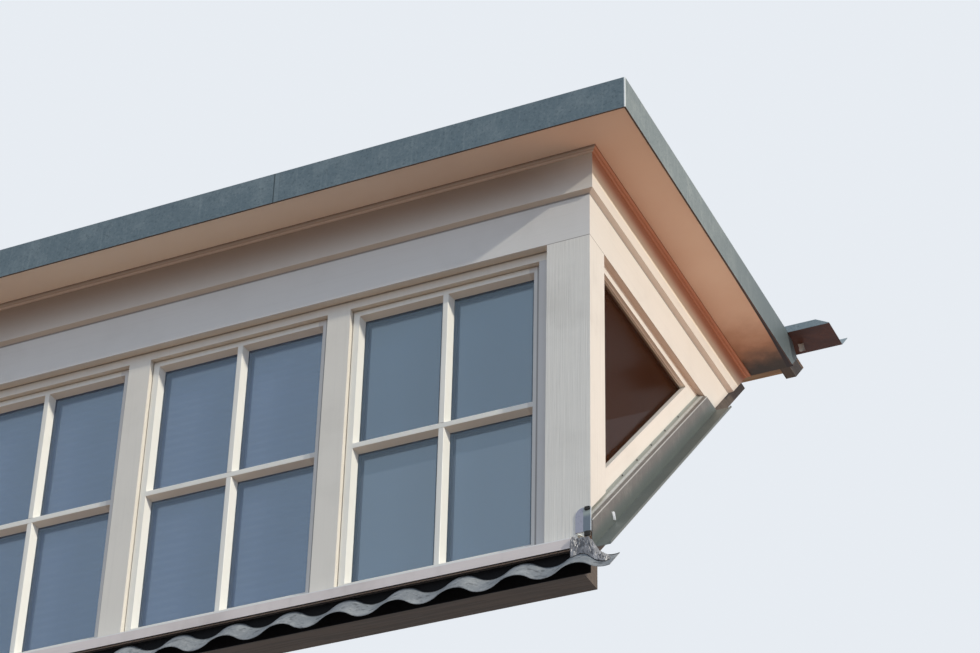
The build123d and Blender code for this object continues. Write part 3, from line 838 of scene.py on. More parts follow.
class Form:
    """A mesh under construction that ends as one finished piece."""

    def __init__(self) -> None:
        """Start empty."""
        self.mesh = bmesh.new()

    def block(self, low: Vector, high: Vector) -> list[bmesh.types.BMVert]:
        """Add a block.

        Args:
            low: Its lowest corner.
            high: Its highest corner.

        Returns:
            Its corners.
        """
        corners = bmesh.ops.create_cube(self.mesh, size=1.0)["verts"]
        bmesh.ops.scale(self.mesh, vec=high - low, verts=corners)
        bmesh.ops.translate(self.mesh, vec=(low + high) / 2, verts=corners)
        return corners

    def sheet(self, columns: int, rows: int, place: Callable[[float, float], Vector]) -> bmesh.types.BMFace:
        """Add a grid and lay each of its points in its place.

        Args:
            columns: Its number of faces across.
            rows: Its number of faces up.
            place: The place of a point whose shares of the way across and up are given.

        Returns:
            One of its faces.
        """
        grid = bmesh.ops.create_grid(self.mesh, x_segments=columns, y_segments=rows, size=0.5)["verts"]
        for vert in grid:
            vert.co = place(vert.co.x + 0.5, vert.co.y + 0.5)
        return grid[0].link_faces[0]

    def lump(self, place: Callable[[Vector], Vector]) -> None:
        """Add a ball and lay each of its points in its place, found from its point on the unit ball."""
        for vert in bmesh.ops.create_icosphere(self.mesh, subdivisions=4, radius=1.0)["verts"]:
            vert.co = place(vert.co)

    def rounded(self, edges: Iterable[bmesh.types.BMEdge], radius: float) -> None:
        """Round some edges by this radius."""
        bmesh.ops.bevel(self.mesh, geom=list(edges), offset=radius, offset_type="OFFSET", affect="EDGES",
                        segments=2, profile=0.5, material=-1, clamp_overlap=True)

    def mirrored(self) -> None:
        """Add the mirror image on the other side of the dormer."""
        geometry = self.mesh.verts[:] + self.mesh.edges[:] + self.mesh.faces[:]
        copy = bmesh.ops.duplicate(self.mesh, geom=geometry)["geom"]
        verts = [item for item in copy if isinstance(item, bmesh.types.BMVert)]
        faces = [item for item in copy if isinstance(item, bmesh.types.BMFace)]
        bmesh.ops.scale(self.mesh, vec=(-1.0, 1.0, 1.0), verts=verts)
        bmesh.ops.reverse_faces(self.mesh, faces=faces)

    def outward(self) -> None:
        """Turn the faces outwards, or all one way on an open sheet."""
        bmesh.ops.recalc_face_normals(self.mesh, faces=self.mesh.faces[:])

    def piece(self, name: str, finish: Finish, slot: str, replaces: Sequence[str] = (),
              smooth_below: Optional[float] = None, wall: float = 0.0,
              offset: float = -1.0) -> bpy.types.Object:
        """Close the mesh and make the piece.

        Args:
            name: The piece's name.
            finish: Its finish.
            slot: Not used; the name of the record's material slot.
            replaces: CAD nodes that it stands for.
            smooth_below: Angle in degrees under which neighbouring faces shade as one surface.
            wall: Thickness that a bare sheet gets.
            offset: The side that the thickness goes to, from -1 behind the sheet to 1 in front.

        Returns:
            The finished object, riding on the part.
        """
        if smooth_below is not None:
            for face in self.mesh.faces:
                face.smooth = True
            for edge in self.mesh.edges:
                edge.smooth = edge.is_manifold and edge.calc_face_angle(0.0) < math.radians(smooth_below)
        data = bpy.data.meshes.new(name)
        self.mesh.to_mesh(data)
        self.mesh.free()
        piece = placed(name, data)
        data.materials.append(finish.material())
        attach(piece, "root")
        if replaces:
            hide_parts(*replaces)
        if wall:
            modifier = piece.modifiers.new("sheet", "SOLIDIFY")
            modifier.thickness = wall
            modifier.offset = offset
        log.info("%s: %d faces", name, len(data.polygons))
        return piece


@dataclass
class Paints:
    """Every finish on the dormer, by the CAD node that it belongs to.

    The inner pane of a window begins at a share of the slab's depth, and that of a side light behind an
    outer pane of this thickness. Other lengths are the widths of open joint lines, of lines of painted shade
    in creases, of laps and of boards.
    """

    # tone of painted shade with warm painted bounce light on undersides
    warm_underside_shade: Colour = (0.50, 0.37, 0.27)
    board_joint: float = 0.0022
    # width of a line of painted shade on the window frames under the header boards' foot
    frame_head_shade_line: float = 0.010
    # width of painted shade in the crease under the frieze
    frieze_crease_shade: float = 0.009
    frieze_lap: float = 0.002
    seam_gap: float = 1.5
    slit_length: float = 1.95
    deck_board: float = 0.14
    inner_pane: float = 0.75
    outer_side_pane: float = 0.012
    sill_edge: float = 0.042

    @property
    def sash(self) -> TimberPaint:
        """The paint of the sashes and their glazing bars."""
        return TimberPaint("sash_paint", Grain.UPRIGHT, colour=(0.85, 0.815, 0.74), grime=(0.55, 0.52, 0.46),
                           brush_depth=0.0003, streaks=0.18, roughness=0.28, underside_shade=0.35,
                           under=self.warm_underside_shade, stiles=ShadedStiles())

    @property
    def header_joint_and_shade_lines(self) -> tuple[Range, ...]:
        """Heights and widths of the lines below and above the header boards: an open joint line below, and
        painted shade in the crease under the frieze above.
        """
        return (HEADER_FOOT, self.board_joint), (FRIEZE_FOOT - self.frieze_lap, self.frieze_crease_shade)

    def front(self) -> dict[str, Finish]:
        """Pair the painted front with its finishes.

        Returns:
            The finish of every painted node of the front.
        """
        # Front header: paint darker than on the side boards, as painted shade under the eaves.
        level = TimberPaint("header_paint", Grain.ALONG_FRONT, joints=self.header_joint_and_shade_lines,
                            colour=(0.735, 0.705, 0.665), brush_depth=0.0003,
                            underside_shade=0.3, under=(0.52, 0.36, 0.24))
        # Painted shade under the eaves on the front frieze, weaker near the corners.
        eaves_shades = (EavesShade(SOFFIT - 0.29, SOFFIT - 0.04, 0.9, (0.34, 0.255, 0.20)),)
        crown = TimberPaint("frieze_paint", Grain.ALONG_FRONT, brush_depth=0.0003, eaves_shades=eaves_shades,
                            eaves_shade_ends=(HALF_WIDTH + 0.1, HALF_WIDTH - 0.35),
                            underside_shade=0.35, under=(0.50, 0.36, 0.27))
        # Front cornice: paint darker and warmer than the walls, partly painted shade, with a wide dark line
        # of painted shade against the soffit.
        cornice = TimberPaint("cornice_paint", Grain.ALONG_FRONT, colour=(0.62, 0.49, 0.41),
                              grime=(0.42, 0.30, 0.23), brush_depth=0.0001, joints=((SOFFIT, 0.016),),
                              joint_and_shade_colour=(0.15, 0.095, 0.06), lines_on_undersides=True)
        upright = TimberPaint("upright_board_paint", Grain.UPRIGHT, brush_depth=0.0020, streaks=0.3,
                              fibres=0.12, joints=((HEADER_FOOT, self.board_joint),))
        window_frame = TimberPaint("window_frame_paint", Grain.UPRIGHT, colour=(0.79, 0.735, 0.65),
                                   streaks=0.22, brush_depth=0.0004, roughness=0.34, underside_shade=0.35,
                                   joints=((HEADER_FOOT, self.frame_head_shade_line),), under=self.warm_underside_shade)
        # Frame jambs: a darker copy of the frame's paint, as painted shade beside the corner boards.
        shaded_jambs = TimberPaint("shaded_jamb_paint", Grain.UPRIGHT, colour=(0.63, 0.605, 0.58), brush_depth=0.0004,
                            roughness=0.34, joints=((HEADER_FOOT, self.frame_head_shade_line),))
        # Sill: its dark underside is painted shade, and the pale line along its top arris is a painted
        # highlight.
        sill = TimberPaint("sill_paint", Grain.ALONG_FRONT, colour=(0.80, 0.71, 0.67), streaks=0.5,
                           grime=(0.46, 0.40, 0.37), rain=0.45, underside_shade=0.9,
                           edge_highlight=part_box("front_sill")[0].z + self.sill_edge)
        return {
            "front_sill": sill, "frame_head": window_frame, "front_lintel": window_frame,
            "mullion_posts": window_frame, "frame_jambs": shaded_jambs,
            "corner_boards_front": upright, "corner_boards_side": upright,
            "header_board_front": level, "frieze_board_front": crown, "cornice_front": cornice,
            "soffit_front": SoffitPaint(),
            "ceiling_lining": TimberPaint("ceiling_paint", Grain.ALONG_FRONT, colour=(0.80, 0.79, 0.76),
                                          streaks=0.1),
        }

    def sides(self) -> dict[str, Finish]:
        """Pair the painted sides with their finishes.

        Returns:
            The finish of every painted node of the sides.
        """
        level = TimberPaint("side_header_paint", Grain.FRONT_TO_BACK, joints=self.header_joint_and_shade_lines,
                            foot_rise=SIDE_FOOT_RISE, underside_shade=0.6, under=(0.52, 0.37, 0.29))
        # Side frieze: a pale warm band of painted bounce light where the sun's shadow falls, then red-brown
        # painted shade and bounce light near the cornice.
        eaves_shades = (EavesShade(SOFFIT - 0.135, SOFFIT - 0.115, 1.0, (0.90, 0.83, 0.67)),
                    EavesShade(SOFFIT - 0.112, SOFFIT - 0.035, 0.9, (0.40, 0.145, 0.075)))
        crown = TimberPaint("side_frieze_paint", Grain.FRONT_TO_BACK, foot_rise=SIDE_FOOT_RISE,
                            eaves_shades=eaves_shades)
        # Side cornice: red-brown paint as painted warm bounce light from the roof with painted shade, and a
        # dark line of painted shade against the soffit.
        cornice = TimberPaint("side_cornice_paint", Grain.FRONT_TO_BACK, colour=(0.52, 0.24, 0.14),
                              grime=(0.36, 0.15, 0.08), brush_depth=0.0001, joints=((SOFFIT, 0.008),),
                              joint_and_shade_colour=(0.20, 0.07, 0.03), lines_on_undersides=True)
        low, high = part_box("soffits_side")
        return {
            "header_boards_side": level, "frieze_boards_side": crown, "cornices_side": cornice,
            "cheek_cover_boards": TimberPaint("sloping_board_paint", Grain.UP_SLOPE),
            "cheek_frames": TimberPaint("side_light_paint", Grain.UP_SLOPE, streaks=0.2),
            "soffits_side": SoffitPaint("side_soffit_paint", slit_shade=SlitShade(high.x, low.y, self.slit_length)),
        }

    def metal(self) -> dict[str, Finish]:
        """Pair the zinc and lead with their finishes.

        Returns:
            The finish of every node of zinc or lead.
        """
        low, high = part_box("fascia_front")
        corner = (high.x, low.y)
        # Side fascias darken towards the back: painted shade.
        side_edge = ZincSheet("zinc_fascia_side", corner=corner, colour=(0.215, 0.252, 0.25),
                              pale=(0.335, 0.37, 0.355), speck=(0.07, 0.098, 0.108), painted_back_shade=(0.3, 1.8))
        return {
            "fascia_front": ZincSheet("zinc_fascia", corner=corner,
                                      seams=(high.x - self.seam_gap, low.x + self.seam_gap)),
            "fascias_side": side_edge,
            "roof_covering": ZincSheet(),
            # gutter: its reddish underside tone is painted shade with a painted reflection of the roof
            "back_gutter": ZincSheet("gutter_zinc", colour=(0.20, 0.25, 0.27), pale=(0.29, 0.34, 0.355),
                                     underside=(0.062, 0.022, 0.012)),
            "side_flashings": ZincSheet("flashing_zinc", colour=(0.165, 0.15, 0.14), pale=(0.27, 0.265, 0.24),
                                        speck=(0.10, 0.12, 0.115), creases=(0.2085, 0.2235)),
            "corner_flashings": CornerZinc(),
            "lead_apron": LeadSheet(shade_from=FRONT - 0.002, gloss=1.22, metallic=0.15),
        }

    def bare_timber(self) -> dict[str, Finish]:
        """Pair the unpainted timber with its finishes.

        Returns:
            The finish of every unpainted node.
        """
        stained = BareTimber("stained_softwood", Grain.FRONT_TO_BACK, early=(0.085, 0.062, 0.042),
                             late=(0.05, 0.034, 0.022))
        plate = BareTimber("softwood_x", Grain.ALONG_FRONT)
        return {
            "roof_deck": BareTimber("deck_boards", Grain.ALONG_FRONT, board_width=self.deck_board),
            # Sole plate: dark treated timber, darkened further as painted shade where the roof would shade
            # it.
            "sole_plate": BareTimber("treated_and_shaded_softwood", Grain.ALONG_FRONT, early=(0.105, 0.08, 0.06),
                                     late=(0.06, 0.045, 0.033)),
            "roof_joists": stained, "edge_boards_side": stained, "cheek_head_beams": stained,
            "cheek_plates": BareTimber("weathered_softwood", Grain.UP_SLOPE, early=(0.11, 0.085, 0.062),
                                       late=(0.065, 0.048, 0.034)),
            "front_wall_plate": plate, "edge_board_front": plate,
            "corner_studs": BareTimber("softwood_z", Grain.UPRIGHT),
        }

    def windows(self) -> dict[str, Finish]:
        """Pair the glass units and the sashes with their finishes.

        Returns:
            The finish of every glass unit and sash.
        """
        low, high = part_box(WINDOWS[0])
        back = between(low.y, high.y, self.inner_pane)
        # Inner panes: painted shade of the room behind with the sky's reflection painted in; behind the
        # blinds it is bluer.
        pane = SealedGlass("window_glass", Facing.FRONT, back, inner_alpha=0.95)
        shaded = SealedGlass("blind_window_glass", Facing.FRONT, back, inner_shade_tone=(0.058, 0.085, 0.185),
                             inner_alpha=0.72, mirror=3.4)
        side_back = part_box("cheek_glass")[1].x - self.outer_side_pane
        # Side light: the brown inner pane and orange reflection tint are a painted reflection of the tiled
        # roof.
        side = SealedGlass("side_light_glass", Facing.SIDE, side_back, inner_shade_tone=(0.036, 0.011, 0.004),
                           mirror=1.062, reflection_tint=(1.0, 0.6, 0.4), ripple=0.002, inner_alpha=0.96, haze=0.12)
        finishes: dict[str, Finish] = {"cheek_glass": side}
        for node in WINDOWS:
            finishes[node] = shaded if int(node[-1]) in BLIND_WINDOWS else pane
            finishes[node.replace("glass", "sash")] = self.sash
        return finishes

    def dress(self) -> None:
        """Give every CAD node its finish."""
        for group in (self.front, self.sides, self.metal, self.bare_timber, self.windows):
            finishes = group()
            for node, finish in finishes.items():
                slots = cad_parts[node].data.materials
                for index in range(len(slots)):
                    slots[index] = finish.material()
            log.info("%s: finishes on %d nodes", group.__name__, len(finishes))


@dataclass
class GlazingBars:
    """Bars that divide each window into four panes, splayed like the sash's own rebate."""

    finish: Finish
    face_width: float = 0.0215
    splay: float = 0.013
    rail_height: float = 0.785
    glass_cover: float = 0.008
    sash_splay: float = 0.012
    arris: float = 0.0016

    def panes(self, node: str) -> tuple[Range, Range, Range, Range]:
        """Divide a window's glass.

        Args:
            node: The glass.

        Returns:
            The left and right edges of its two columns, then the lower and upper edges of its two rows.
        """
        low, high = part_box(node)
        foot = self.face_width / 2 + self.splay
        cover, middle, rail = self.glass_cover, (low.x + high.x) / 2, self.rail_height
        return ((low.x + cover, middle - foot), (middle + foot, high.x - cover),
                (low.z + cover, rail - foot), (rail + foot, high.z - cover))

    def bar(self, form: Form, low: Vector, high: Vector, level: bool) -> None:
        """Add one bar between two bevelled rebates.

        Args:
            form: The mesh.
            low: Lowest corner of its foot on the glass.
            high: Highest corner of its foot, on the front plane of the sash.
            level: Whether it lies level.
        """
        centre, size = (low + high) / 2, high - low
        front = [vert for vert in form.block(low, high) if vert.co.y < centre.y]
        narrow = self.face_width / (size.z if level else size.x)
        longer = 1 + 2 * self.sash_splay / (size.x if level else size.z)
        factors = (longer, 1.0, narrow) if level else (narrow, 1.0, longer)
        bmesh.ops.scale(form.mesh, vec=factors, space=Matrix.Translation(-centre), verts=front)
        arrises = [edge for edge in form.mesh.edges
                   if all(vert in front for vert in edge.verts)
                   and abs((edge.verts[0].co - edge.verts[1].co).normalized()[0 if level else 2]) > 0.9]
        form.rounded(arrises, self.arris)

    def build(self) -> None:
        """Make the bars of every window."""
        for node in WINDOWS:
            left, right, lower, upper = self.panes(node)
            front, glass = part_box(node.replace("glass", "sash"))[0].y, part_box(node)[0].y
            form = Form()
            self.bar(form, Vector((left[0], front, lower[1])), Vector((right[1], glass, upper[0])), True)
            for row in (lower, upper):
                self.bar(form, Vector((left[1], front, row[0])), Vector((right[0], glass, row[1])), False)
            form.piece(node.replace("window_glass", "glazing_bars"), self.finish, "painted_sash")


@dataclass
class GlassSpacers:
    """Dark spacer frames inside the sealed units, one round each pane."""

    bars: GlazingBars
    finish: Finish = PlainCoat("spacer_black", (0.018, 0.02, 0.028), (0.03, 0.033, 0.042), roughness=0.45)
    width: float = 0.015
    showing: float = 0.008
    depth: float = 0.0105
    set_back: float = 0.0035

    def ring(self, form: Form, column: Range, row: Range, front: float) -> None:
        """Add a rectangular ring round a pane.

        Args:
            form: The mesh.
            column: The pane's left and right edges.
            row: Its lower and upper edges.
            front: Depth of the ring's front.
        """
        hidden = self.width - self.showing
        x0, x1 = column[0] - hidden, column[1] + hidden
        z0, z1 = row[0] - hidden, row[1] + hidden
        sheet = form.sheet(1, 1, lambda u, v: Vector((between(x0, x1, u), front, between(z0, z1, v))))
        sheet.normal_update()
        sides = bmesh.ops.inset_region(form.mesh, faces=[sheet], thickness=self.width, use_boundary=True,
                                       use_even_offset=True)["faces"]
        bmesh.ops.delete(form.mesh, geom=[sheet], context="FACES_ONLY")
        walls = bmesh.ops.extrude_face_region(form.mesh, geom=sides, use_keep_orig=True)["geom"]
        back = [item for item in walls if isinstance(item, bmesh.types.BMVert)]
        bmesh.ops.translate(form.mesh, vec=(0.0, self.depth, 0.0), verts=back)
        form.outward()

    def build(self) -> None:
        """Make the spacers of every window."""
        for node in WINDOWS:
            left, right, lower, upper = self.bars.panes(node)
            form = Form()
            for column in (left, right):
                for row in (lower, upper):
                    self.ring(form, column, row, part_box(node)[0].y + self.set_back)
            form.piece(node.replace("window_glass", "glass_spacers"), self.finish, "glass_unit")


@dataclass
class PleatedBlinds:
    """Lowered pleated blinds of stiff cloth behind the two middle windows, with their rails."""

    cloth: Finish = PlainCoat("blind_cloth", (0.80, 0.86, 0.93), (0.72, 0.79, 0.87), roughness=0.8,
                              scale=400.0)
    rail: Finish = PlainCoat("blind_rail_lacquer", (0.66, 0.66, 0.65), (0.60, 0.60, 0.59), roughness=0.35)
    pleat: float = 0.034
    depth: float = 0.0042
    rail_height: float = 0.018
    rail_rounding: float = 0.001
    side_play: float = 0.003

    def build(self) -> None:
        """Make the blinds inside the CAD slabs that stand for them."""
        low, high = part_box("blinds")
        margin = low.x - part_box("window_glass_2")[0].x
        rails = Form()
        widths = {}
        for number in BLIND_WINDOWS:
            glass_low, glass_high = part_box(f"window_glass_{number}")
            left, right = widths[number] = (glass_low.x + margin, glass_high.x - margin)
            for foot in (low.z, high.z - self.rail_height):
                head = foot + self.rail_height
                corners = rails.block(Vector((left, low.y, foot)), Vector((right, high.y, head)))
                rails.rounded({edge for vert in corners for edge in vert.link_edges}, self.rail_rounding)
        rails.piece("blind_rails", self.rail, "blind_fabric")
        for number, (left, right) in widths.items():
            self.hang(number, left + self.side_play, right - self.side_play)

    def hang(self, number: int, left: float, right: float) -> None:
        """Make one pleated sheet.

        Args:
            number: The window that it hangs behind.
            left: Its left edge.
            right: Its right edge.
        """
        low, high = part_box("blinds")
        foot, head = low.z + self.rail_height, high.z - self.rail_height
        folds = 2 * round((head - foot) / self.pleat)
        creases = [(low.y + high.y + self.depth * (1 if fold % 2 else -1)) / 2 for fold in range(folds + 1)]
        form = Form()
        form.sheet(1, folds, lambda u, v: Vector((between(left, right, u), creases[round(v * folds)],
                                                  between(foot, head, v))))
        piece = form.piece(f"pleated_blind_{number}", self.cloth, "blind_fabric", replaces=["blinds"])


@dataclass
class FlashingNails:
    """Round nail heads along the strips that hold the side flashings."""

    finish: Finish = PlainCoat("nail_heads", (0.10, 0.09, 0.085), (0.04, 0.035, 0.03), metallic=0.5)
    places: tuple[float, ...] = (0.289, 0.436, 0.586, 0.735, 0.884)
    rise: float = 0.234
    radius: float = 0.0045
    crown: float = 0.55
    height: float = 0.003
    sheet: float = 0.0045

    def build(self) -> None:
        """Make both rows."""
        form = Form()
        plane = HALF_WIDTH - BOARD + self.sheet
        sideways = Matrix.Rotation(math.pi / 2, 3, "Y")
        for place in self.places:
            head = bmesh.ops.create_cone(form.mesh, cap_ends=True, segments=12, radius1=self.radius,
                                         radius2=self.radius * self.crown, depth=self.height)["verts"]
            bmesh.ops.rotate(form.mesh, cent=(0, 0, 0), matrix=sideways, verts=head)
            centre = (plane + self.height / 2, place, slope_height(place, self.rise))
            bmesh.ops.translate(form.mesh, vec=centre, verts=head)
        form.mirrored()
        form.piece("flashing_nails", self.finish, "zinc", smooth_below=35.0)


@dataclass
class CornerLead:
    """Crumpled lead over the ends of the sill: a lump at the corner and a flap on the apron beside it.

    Each station gives X, the height of the top where the sheet stands up against the corner, or 0 where it
    lies on the apron, and the depths of its upper and lower edges. The folds are layers of creases, each a
    scale and a share. They fade towards the top and foot, and where the sheet lies flat.
    """

    finish: Finish = LeadSheet("crumpled_lead", colour=(0.22, 0.22, 0.232), bloom=(0.56, 0.55, 0.56),
                               dark=(0.045, 0.045, 0.05), marks=0.0016, roughness=0.34, metallic=0.4,
                               fineness=2.2)
    stations: tuple[tuple[float, float, float, float], ...] = (
        (1.9125, 0.120, -0.0880, -0.096), (1.917, 0.131, -0.0845, -0.097), (1.925, 0.136, -0.0750, -0.096),
        (1.934, 0.135, -0.0670, -0.093), (1.946, 0.131, -0.0655, -0.091), (1.958, 0.127, -0.0655, -0.093),
        (1.974, 0.126, -0.0655, -0.099), (1.984, 0.116, -0.0640, -0.105), (1.996, 0.092, -0.0640, -0.111),
        (2.010, 0.0, -0.0660, -0.117), (2.030, 0.0, -0.0740, -0.120), (2.050, 0.0, -0.0840, -0.118),
        (2.060, 0.0, -0.0960, -0.106))
    folds: tuple[Range, ...] = ((1.0, 1.0), (2.3, 0.5), (5.1, 0.25))
    folds_across: float = 55.0
    folds_down: float = 4.5
    twist: float = 1.5
    slant: float = 22.0
    flat_folds: float = 0.4
    flat_crumple: float = 0.35
    foot_crumple: float = 0.25
    fades: Range = (2.2, 5.0)
    mean_ridge: float = 0.85
    columns: int = 150
    rows: int = 64
    wave_height: float = 0.038
    wave_length: float = 0.229
    crest_rise: float = 0.092
    lift: float = 0.004
    standing: float = 0.03
    belly: float = 0.012
    clearance: float = 0.0045
    wall: float = 0.002
    crumple: float = 0.0085
    push: Triple = (0.25, -0.8, 0.75)

    def apron(self, x: float, y: float) -> float:
        """Find the height of the sheet where it lies on the apron's waves.

        Args:
            x: The place along the front.
            y: The depth.

        Returns:
            The height.
        """
        turn = 2 * math.pi * x / self.wave_length
        rise = self.crest_rise - self.wave_height / 2 * (1 + math.cos(turn))
        return slope_height(y, rise) + self.lift

    def station(self, u: float) -> list[float]:
        """Find the values part of the way along the sheet.

        Args:
            u: Share of the way from the sill to the side.

        Returns:
            X, height of the top, depth of the upper edge and depth of the lower one.
        """
        x = between(self.stations[0][0], self.stations[-1][0], u)
        number = max(i for i, item in enumerate(self.stations[:-1]) if item[0] <= x + 1e-9)
        ends = [(at, top or self.apron(x, upper), upper, lower)
                for at, top, upper, lower in self.stations[number:number + 2]]
        share = (x - ends[0][0]) / (ends[1][0] - ends[0][0])
        return [x] + [between(low, high, share) for low, high in zip(ends[0][1:], ends[1][1:])]

    def point(self, u: float, v: float) -> Vector:
        """Find a point of the sheet.

        Args:
            u: Share of the way from the sill to the side.
            v: Share of the way from the top edge to the lower one.

        Returns:
            Its place.
        """
        x, top, y_top, y_foot = self.station(u)
        foot = self.apron(x, y_foot)
        stands = min(1.0, max(0.0, (top - self.apron(x, y_top)) / self.standing))
        start, end = Vector((x, y_top, top)), Vector((x, y_foot, foot))
        swell = (top if stands else (top + foot) / 2) + self.lift
        belly = Vector((x, y_foot - self.belly * stands, swell))
        spot = start * (1 - v) ** 2 + belly * 2 * v * (1 - v) + end * v ** 2
        down = v * self.folds_down * between(self.flat_folds, 1.0, stands)
        fold = Vector((x * self.folds_across + v * self.twist, down - x * self.slant, 0.3))
        ridge = sum(share * (1.0 - 2.0 * abs(noise.noise(fold * scale))) for scale, share in self.folds)
        below_top, above_foot = (math.sin(min(1.0, fade * way) * math.pi / 2)
                                 for fade, way in zip(self.fades, (v, 1 - v)))
        strength = self.crumple * between(self.flat_crumple, 1.0, stands) * below_top
        strength *= between(self.foot_crumple, 1.0, above_foot)
        spot += strength * (ridge - self.mean_ridge) * Vector(self.push)
        spot.z = max(spot.z, self.apron(spot.x, spot.y) - self.lift * 0.4)
        spot.y = min(spot.y, FRONT - self.clearance)
        return spot

    def build(self) -> None:
        """Make the sheets at both corners."""
        form = Form()
        form.sheet(self.columns, self.rows, lambda u, v: self.point(u, 1 - v))
        form.outward()
        form.mirrored()
        form.piece("corner_lead", self.finish, "lead", smooth_below=70.0, wall=self.wall, offset=0.0)


@dataclass(frozen=True)
class Scrap:
    """A small torn scrap of sheet on either side, with an edge that curls out.

    It faces sideways until it leans about X and then swings about Z, in radians. The tears are noise that
    eats into its outline, and the ripples lift it.
    """

    name: str
    finish: Finish
    slot: str
    centre: Triple
    width: float
    height: float
    lean: float
    swing: float
    curl: float
    wall: float
    faces: int = 7
    tear: float = 0.35
    tears: float = 3.0
    ripple: float = 0.12
    ripples: float = 9.0

    def point(self, u: float, v: float) -> Vector:
        """Find a point of the scrap.

        Args:
            u: Share of the way across.
            v: Share of the way up.

        Returns:
            Its place.
        """
        across, up = u - 0.5, v - 0.5
        tears = Vector((across * self.tears, up * self.tears, self.centre[2] * 9.0))
        torn = 1.0 + self.tear * noise.noise(tears)
        ripple = self.ripple * noise.noise(Vector((across * self.ripples, up * self.ripples, 1.0)))
        flat = Vector((self.curl * (u ** 2 + ripple), across * self.width * torn, up * self.height * torn))
        turn = Matrix.Rotation(self.swing, 3, "Z") @ Matrix.Rotation(self.lean, 3, "X")
        return Vector(self.centre) + turn @ flat

    def build(self) -> None:
        """Make the pair."""
        form = Form()
        form.sheet(self.faces, self.faces, self.point)
        form.mirrored()
        form.piece(self.name, self.finish, self.slot, smooth_below=50.0, wall=self.wall)


@dataclass
class SmallRepairs:
    """Sealant and black strips of painted shade on the corner flashings, foil scraps beside them and tabs by
    the gutter.

    The smear of sealant runs sideways from smear_from, measured from the side of the dormer, while its foot
    and top close in on smear_end. The black strips, painted shade where the flashings show dark gaps, each
    lie between two corners.
    """

    sealant: Finish = PlainCoat("sealant", (0.93, 0.91, 0.80), (0.84, 0.81, 0.70), roughness=0.45, scale=90.0)
    smear_from: float = -0.051
    smear_run: float = 0.026
    smear_foot: float = 0.148
    smear_height: float = 0.020
    smear_end: float = 0.144
    smear_depth: float = 0.012
    smear_swell: float = 0.3
    smear_shake: float = 0.002
    # black strips placed where the corner flashings show dark gaps: painted shade
    flashing_gap_shade: Finish = PlainCoat("flashing_gap_black", (0.012, 0.011, 0.010), (0.03, 0.028, 0.026), roughness=0.7)
    strips: tuple[tuple[Triple, Triple], ...] = (
        ((1.950, -0.0675, 0.249), (1.972, -0.0615, 0.263)),
        ((1.949, -0.0655, 0.146), (1.972, -0.0590, 0.166)))
    squareness: float = 0.45
    wobble: float = 0.16
    foil: Scrap = Scrap(
        "foil_scraps", PlainCoat("foil_scrap", (0.80, 0.82, 0.84), (0.62, 0.64, 0.68), roughness=0.3,
                                 metallic=0.6),
        "zinc", centre=(HALF_WIDTH + 0.0092, 0.128, 0.326), width=0.017, height=0.028,
        lean=0.5, swing=0.0, curl=0.004, wall=0.0006)
    # Tabs by the gutter: their pale tone is painted sunlight.
    tabs: Scrap = Scrap(
        "gutter_tabs", LeadSheet("lead_tab_painted_light", colour=(0.66, 0.65, 0.59), bloom=(0.80, 0.79, 0.72),
                                 dark=(0.30, 0.29, 0.26), marks=0.0015),
        "lead", centre=(2.2315, 1.676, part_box("back_gutter")[0].z - 0.0185), width=0.022, height=0.040,
        lean=0.12, swing=math.radians(-70.0), curl=0.007, wall=0.0015)

    def smear(self, ball: Vector) -> Vector:
        """Press a ball into the smear of sealant, a lump that runs out to one side.

        Args:
            ball: A point on the unit ball.

        Returns:
            Its place.
        """
        run = (ball.x + 1) / 2
        shake = noise.noise_vector(ball * 2.3)
        side = self.smear_foot + self.smear_height * (ball.z + 1) / 2
        return Vector((
            HALF_WIDTH + self.smear_from + self.smear_run * run + self.smear_shake * shake.x,
            FRONT + min(self.smear_depth * ball.y * (1 + self.smear_swell * shake.y), 0.0),
            between(side, self.smear_end, run) + self.smear_shake * shake.z,
        ))

    def strip(self, ball: Vector, low: Vector, high: Vector) -> Vector:
        """Press a ball into a black strip of painted shade, flat on the front.

        Args:
            ball: A point on the unit ball.
            low: The strip's lowest corner, on the front.
            high: Its highest corner.

        Returns:
            The point's place.
        """
        shake = noise.noise_vector(ball * 2.7 + low * 9.0)
        spread = [math.copysign(abs(value) ** self.squareness, value) for value in ball]
        shares = [(value * (1 + self.wobble * push) + 1) / 2 for value, push in zip(spread, shake)]
        return Vector([between(*ends, share) for *ends, share in zip(low, high, shares)])

    def build(self) -> None:
        """Make all of them, on both sides."""
        form = Form()
        form.lump(self.smear)
        form.mirrored()
        form.piece("corner_sealant", self.sealant, "painted_timber", smooth_below=60.0)
        # Black strips of painted shade at the dark gaps of the corner flashings.
        form = Form()
        for low, high in self.strips:
            form.lump(lambda ball: self.strip(ball, Vector(low), Vector(high)))
        form.mirrored()
        form.piece("corner_flashing_gaps", self.flashing_gap_shade, "zinc", smooth_below=60.0)
        self.foil.build()
        self.tabs.build()


@dataclass(frozen=True)
class DistantLamp:
    """A distant soft lamp, with its apparent width in degrees, that glass and metal may mirror."""

    name: str
    towards: Triple
    strength: float
    colour: Colour
    width: float
    mirrored: bool = True

    def build(self) -> None:
        """Make the lamp."""
        data = bpy.data.lights.new(self.name, "SUN")
        data.energy = self.strength
        data.color = self.colour
        data.angle = math.radians(self.width)
        lamp = placed(self.name, data)
        lamp.rotation_euler = (-Vector(self.towards)).to_track_quat("-Z", "Y").to_euler()
        lamp.visible_glossy = self.mirrored


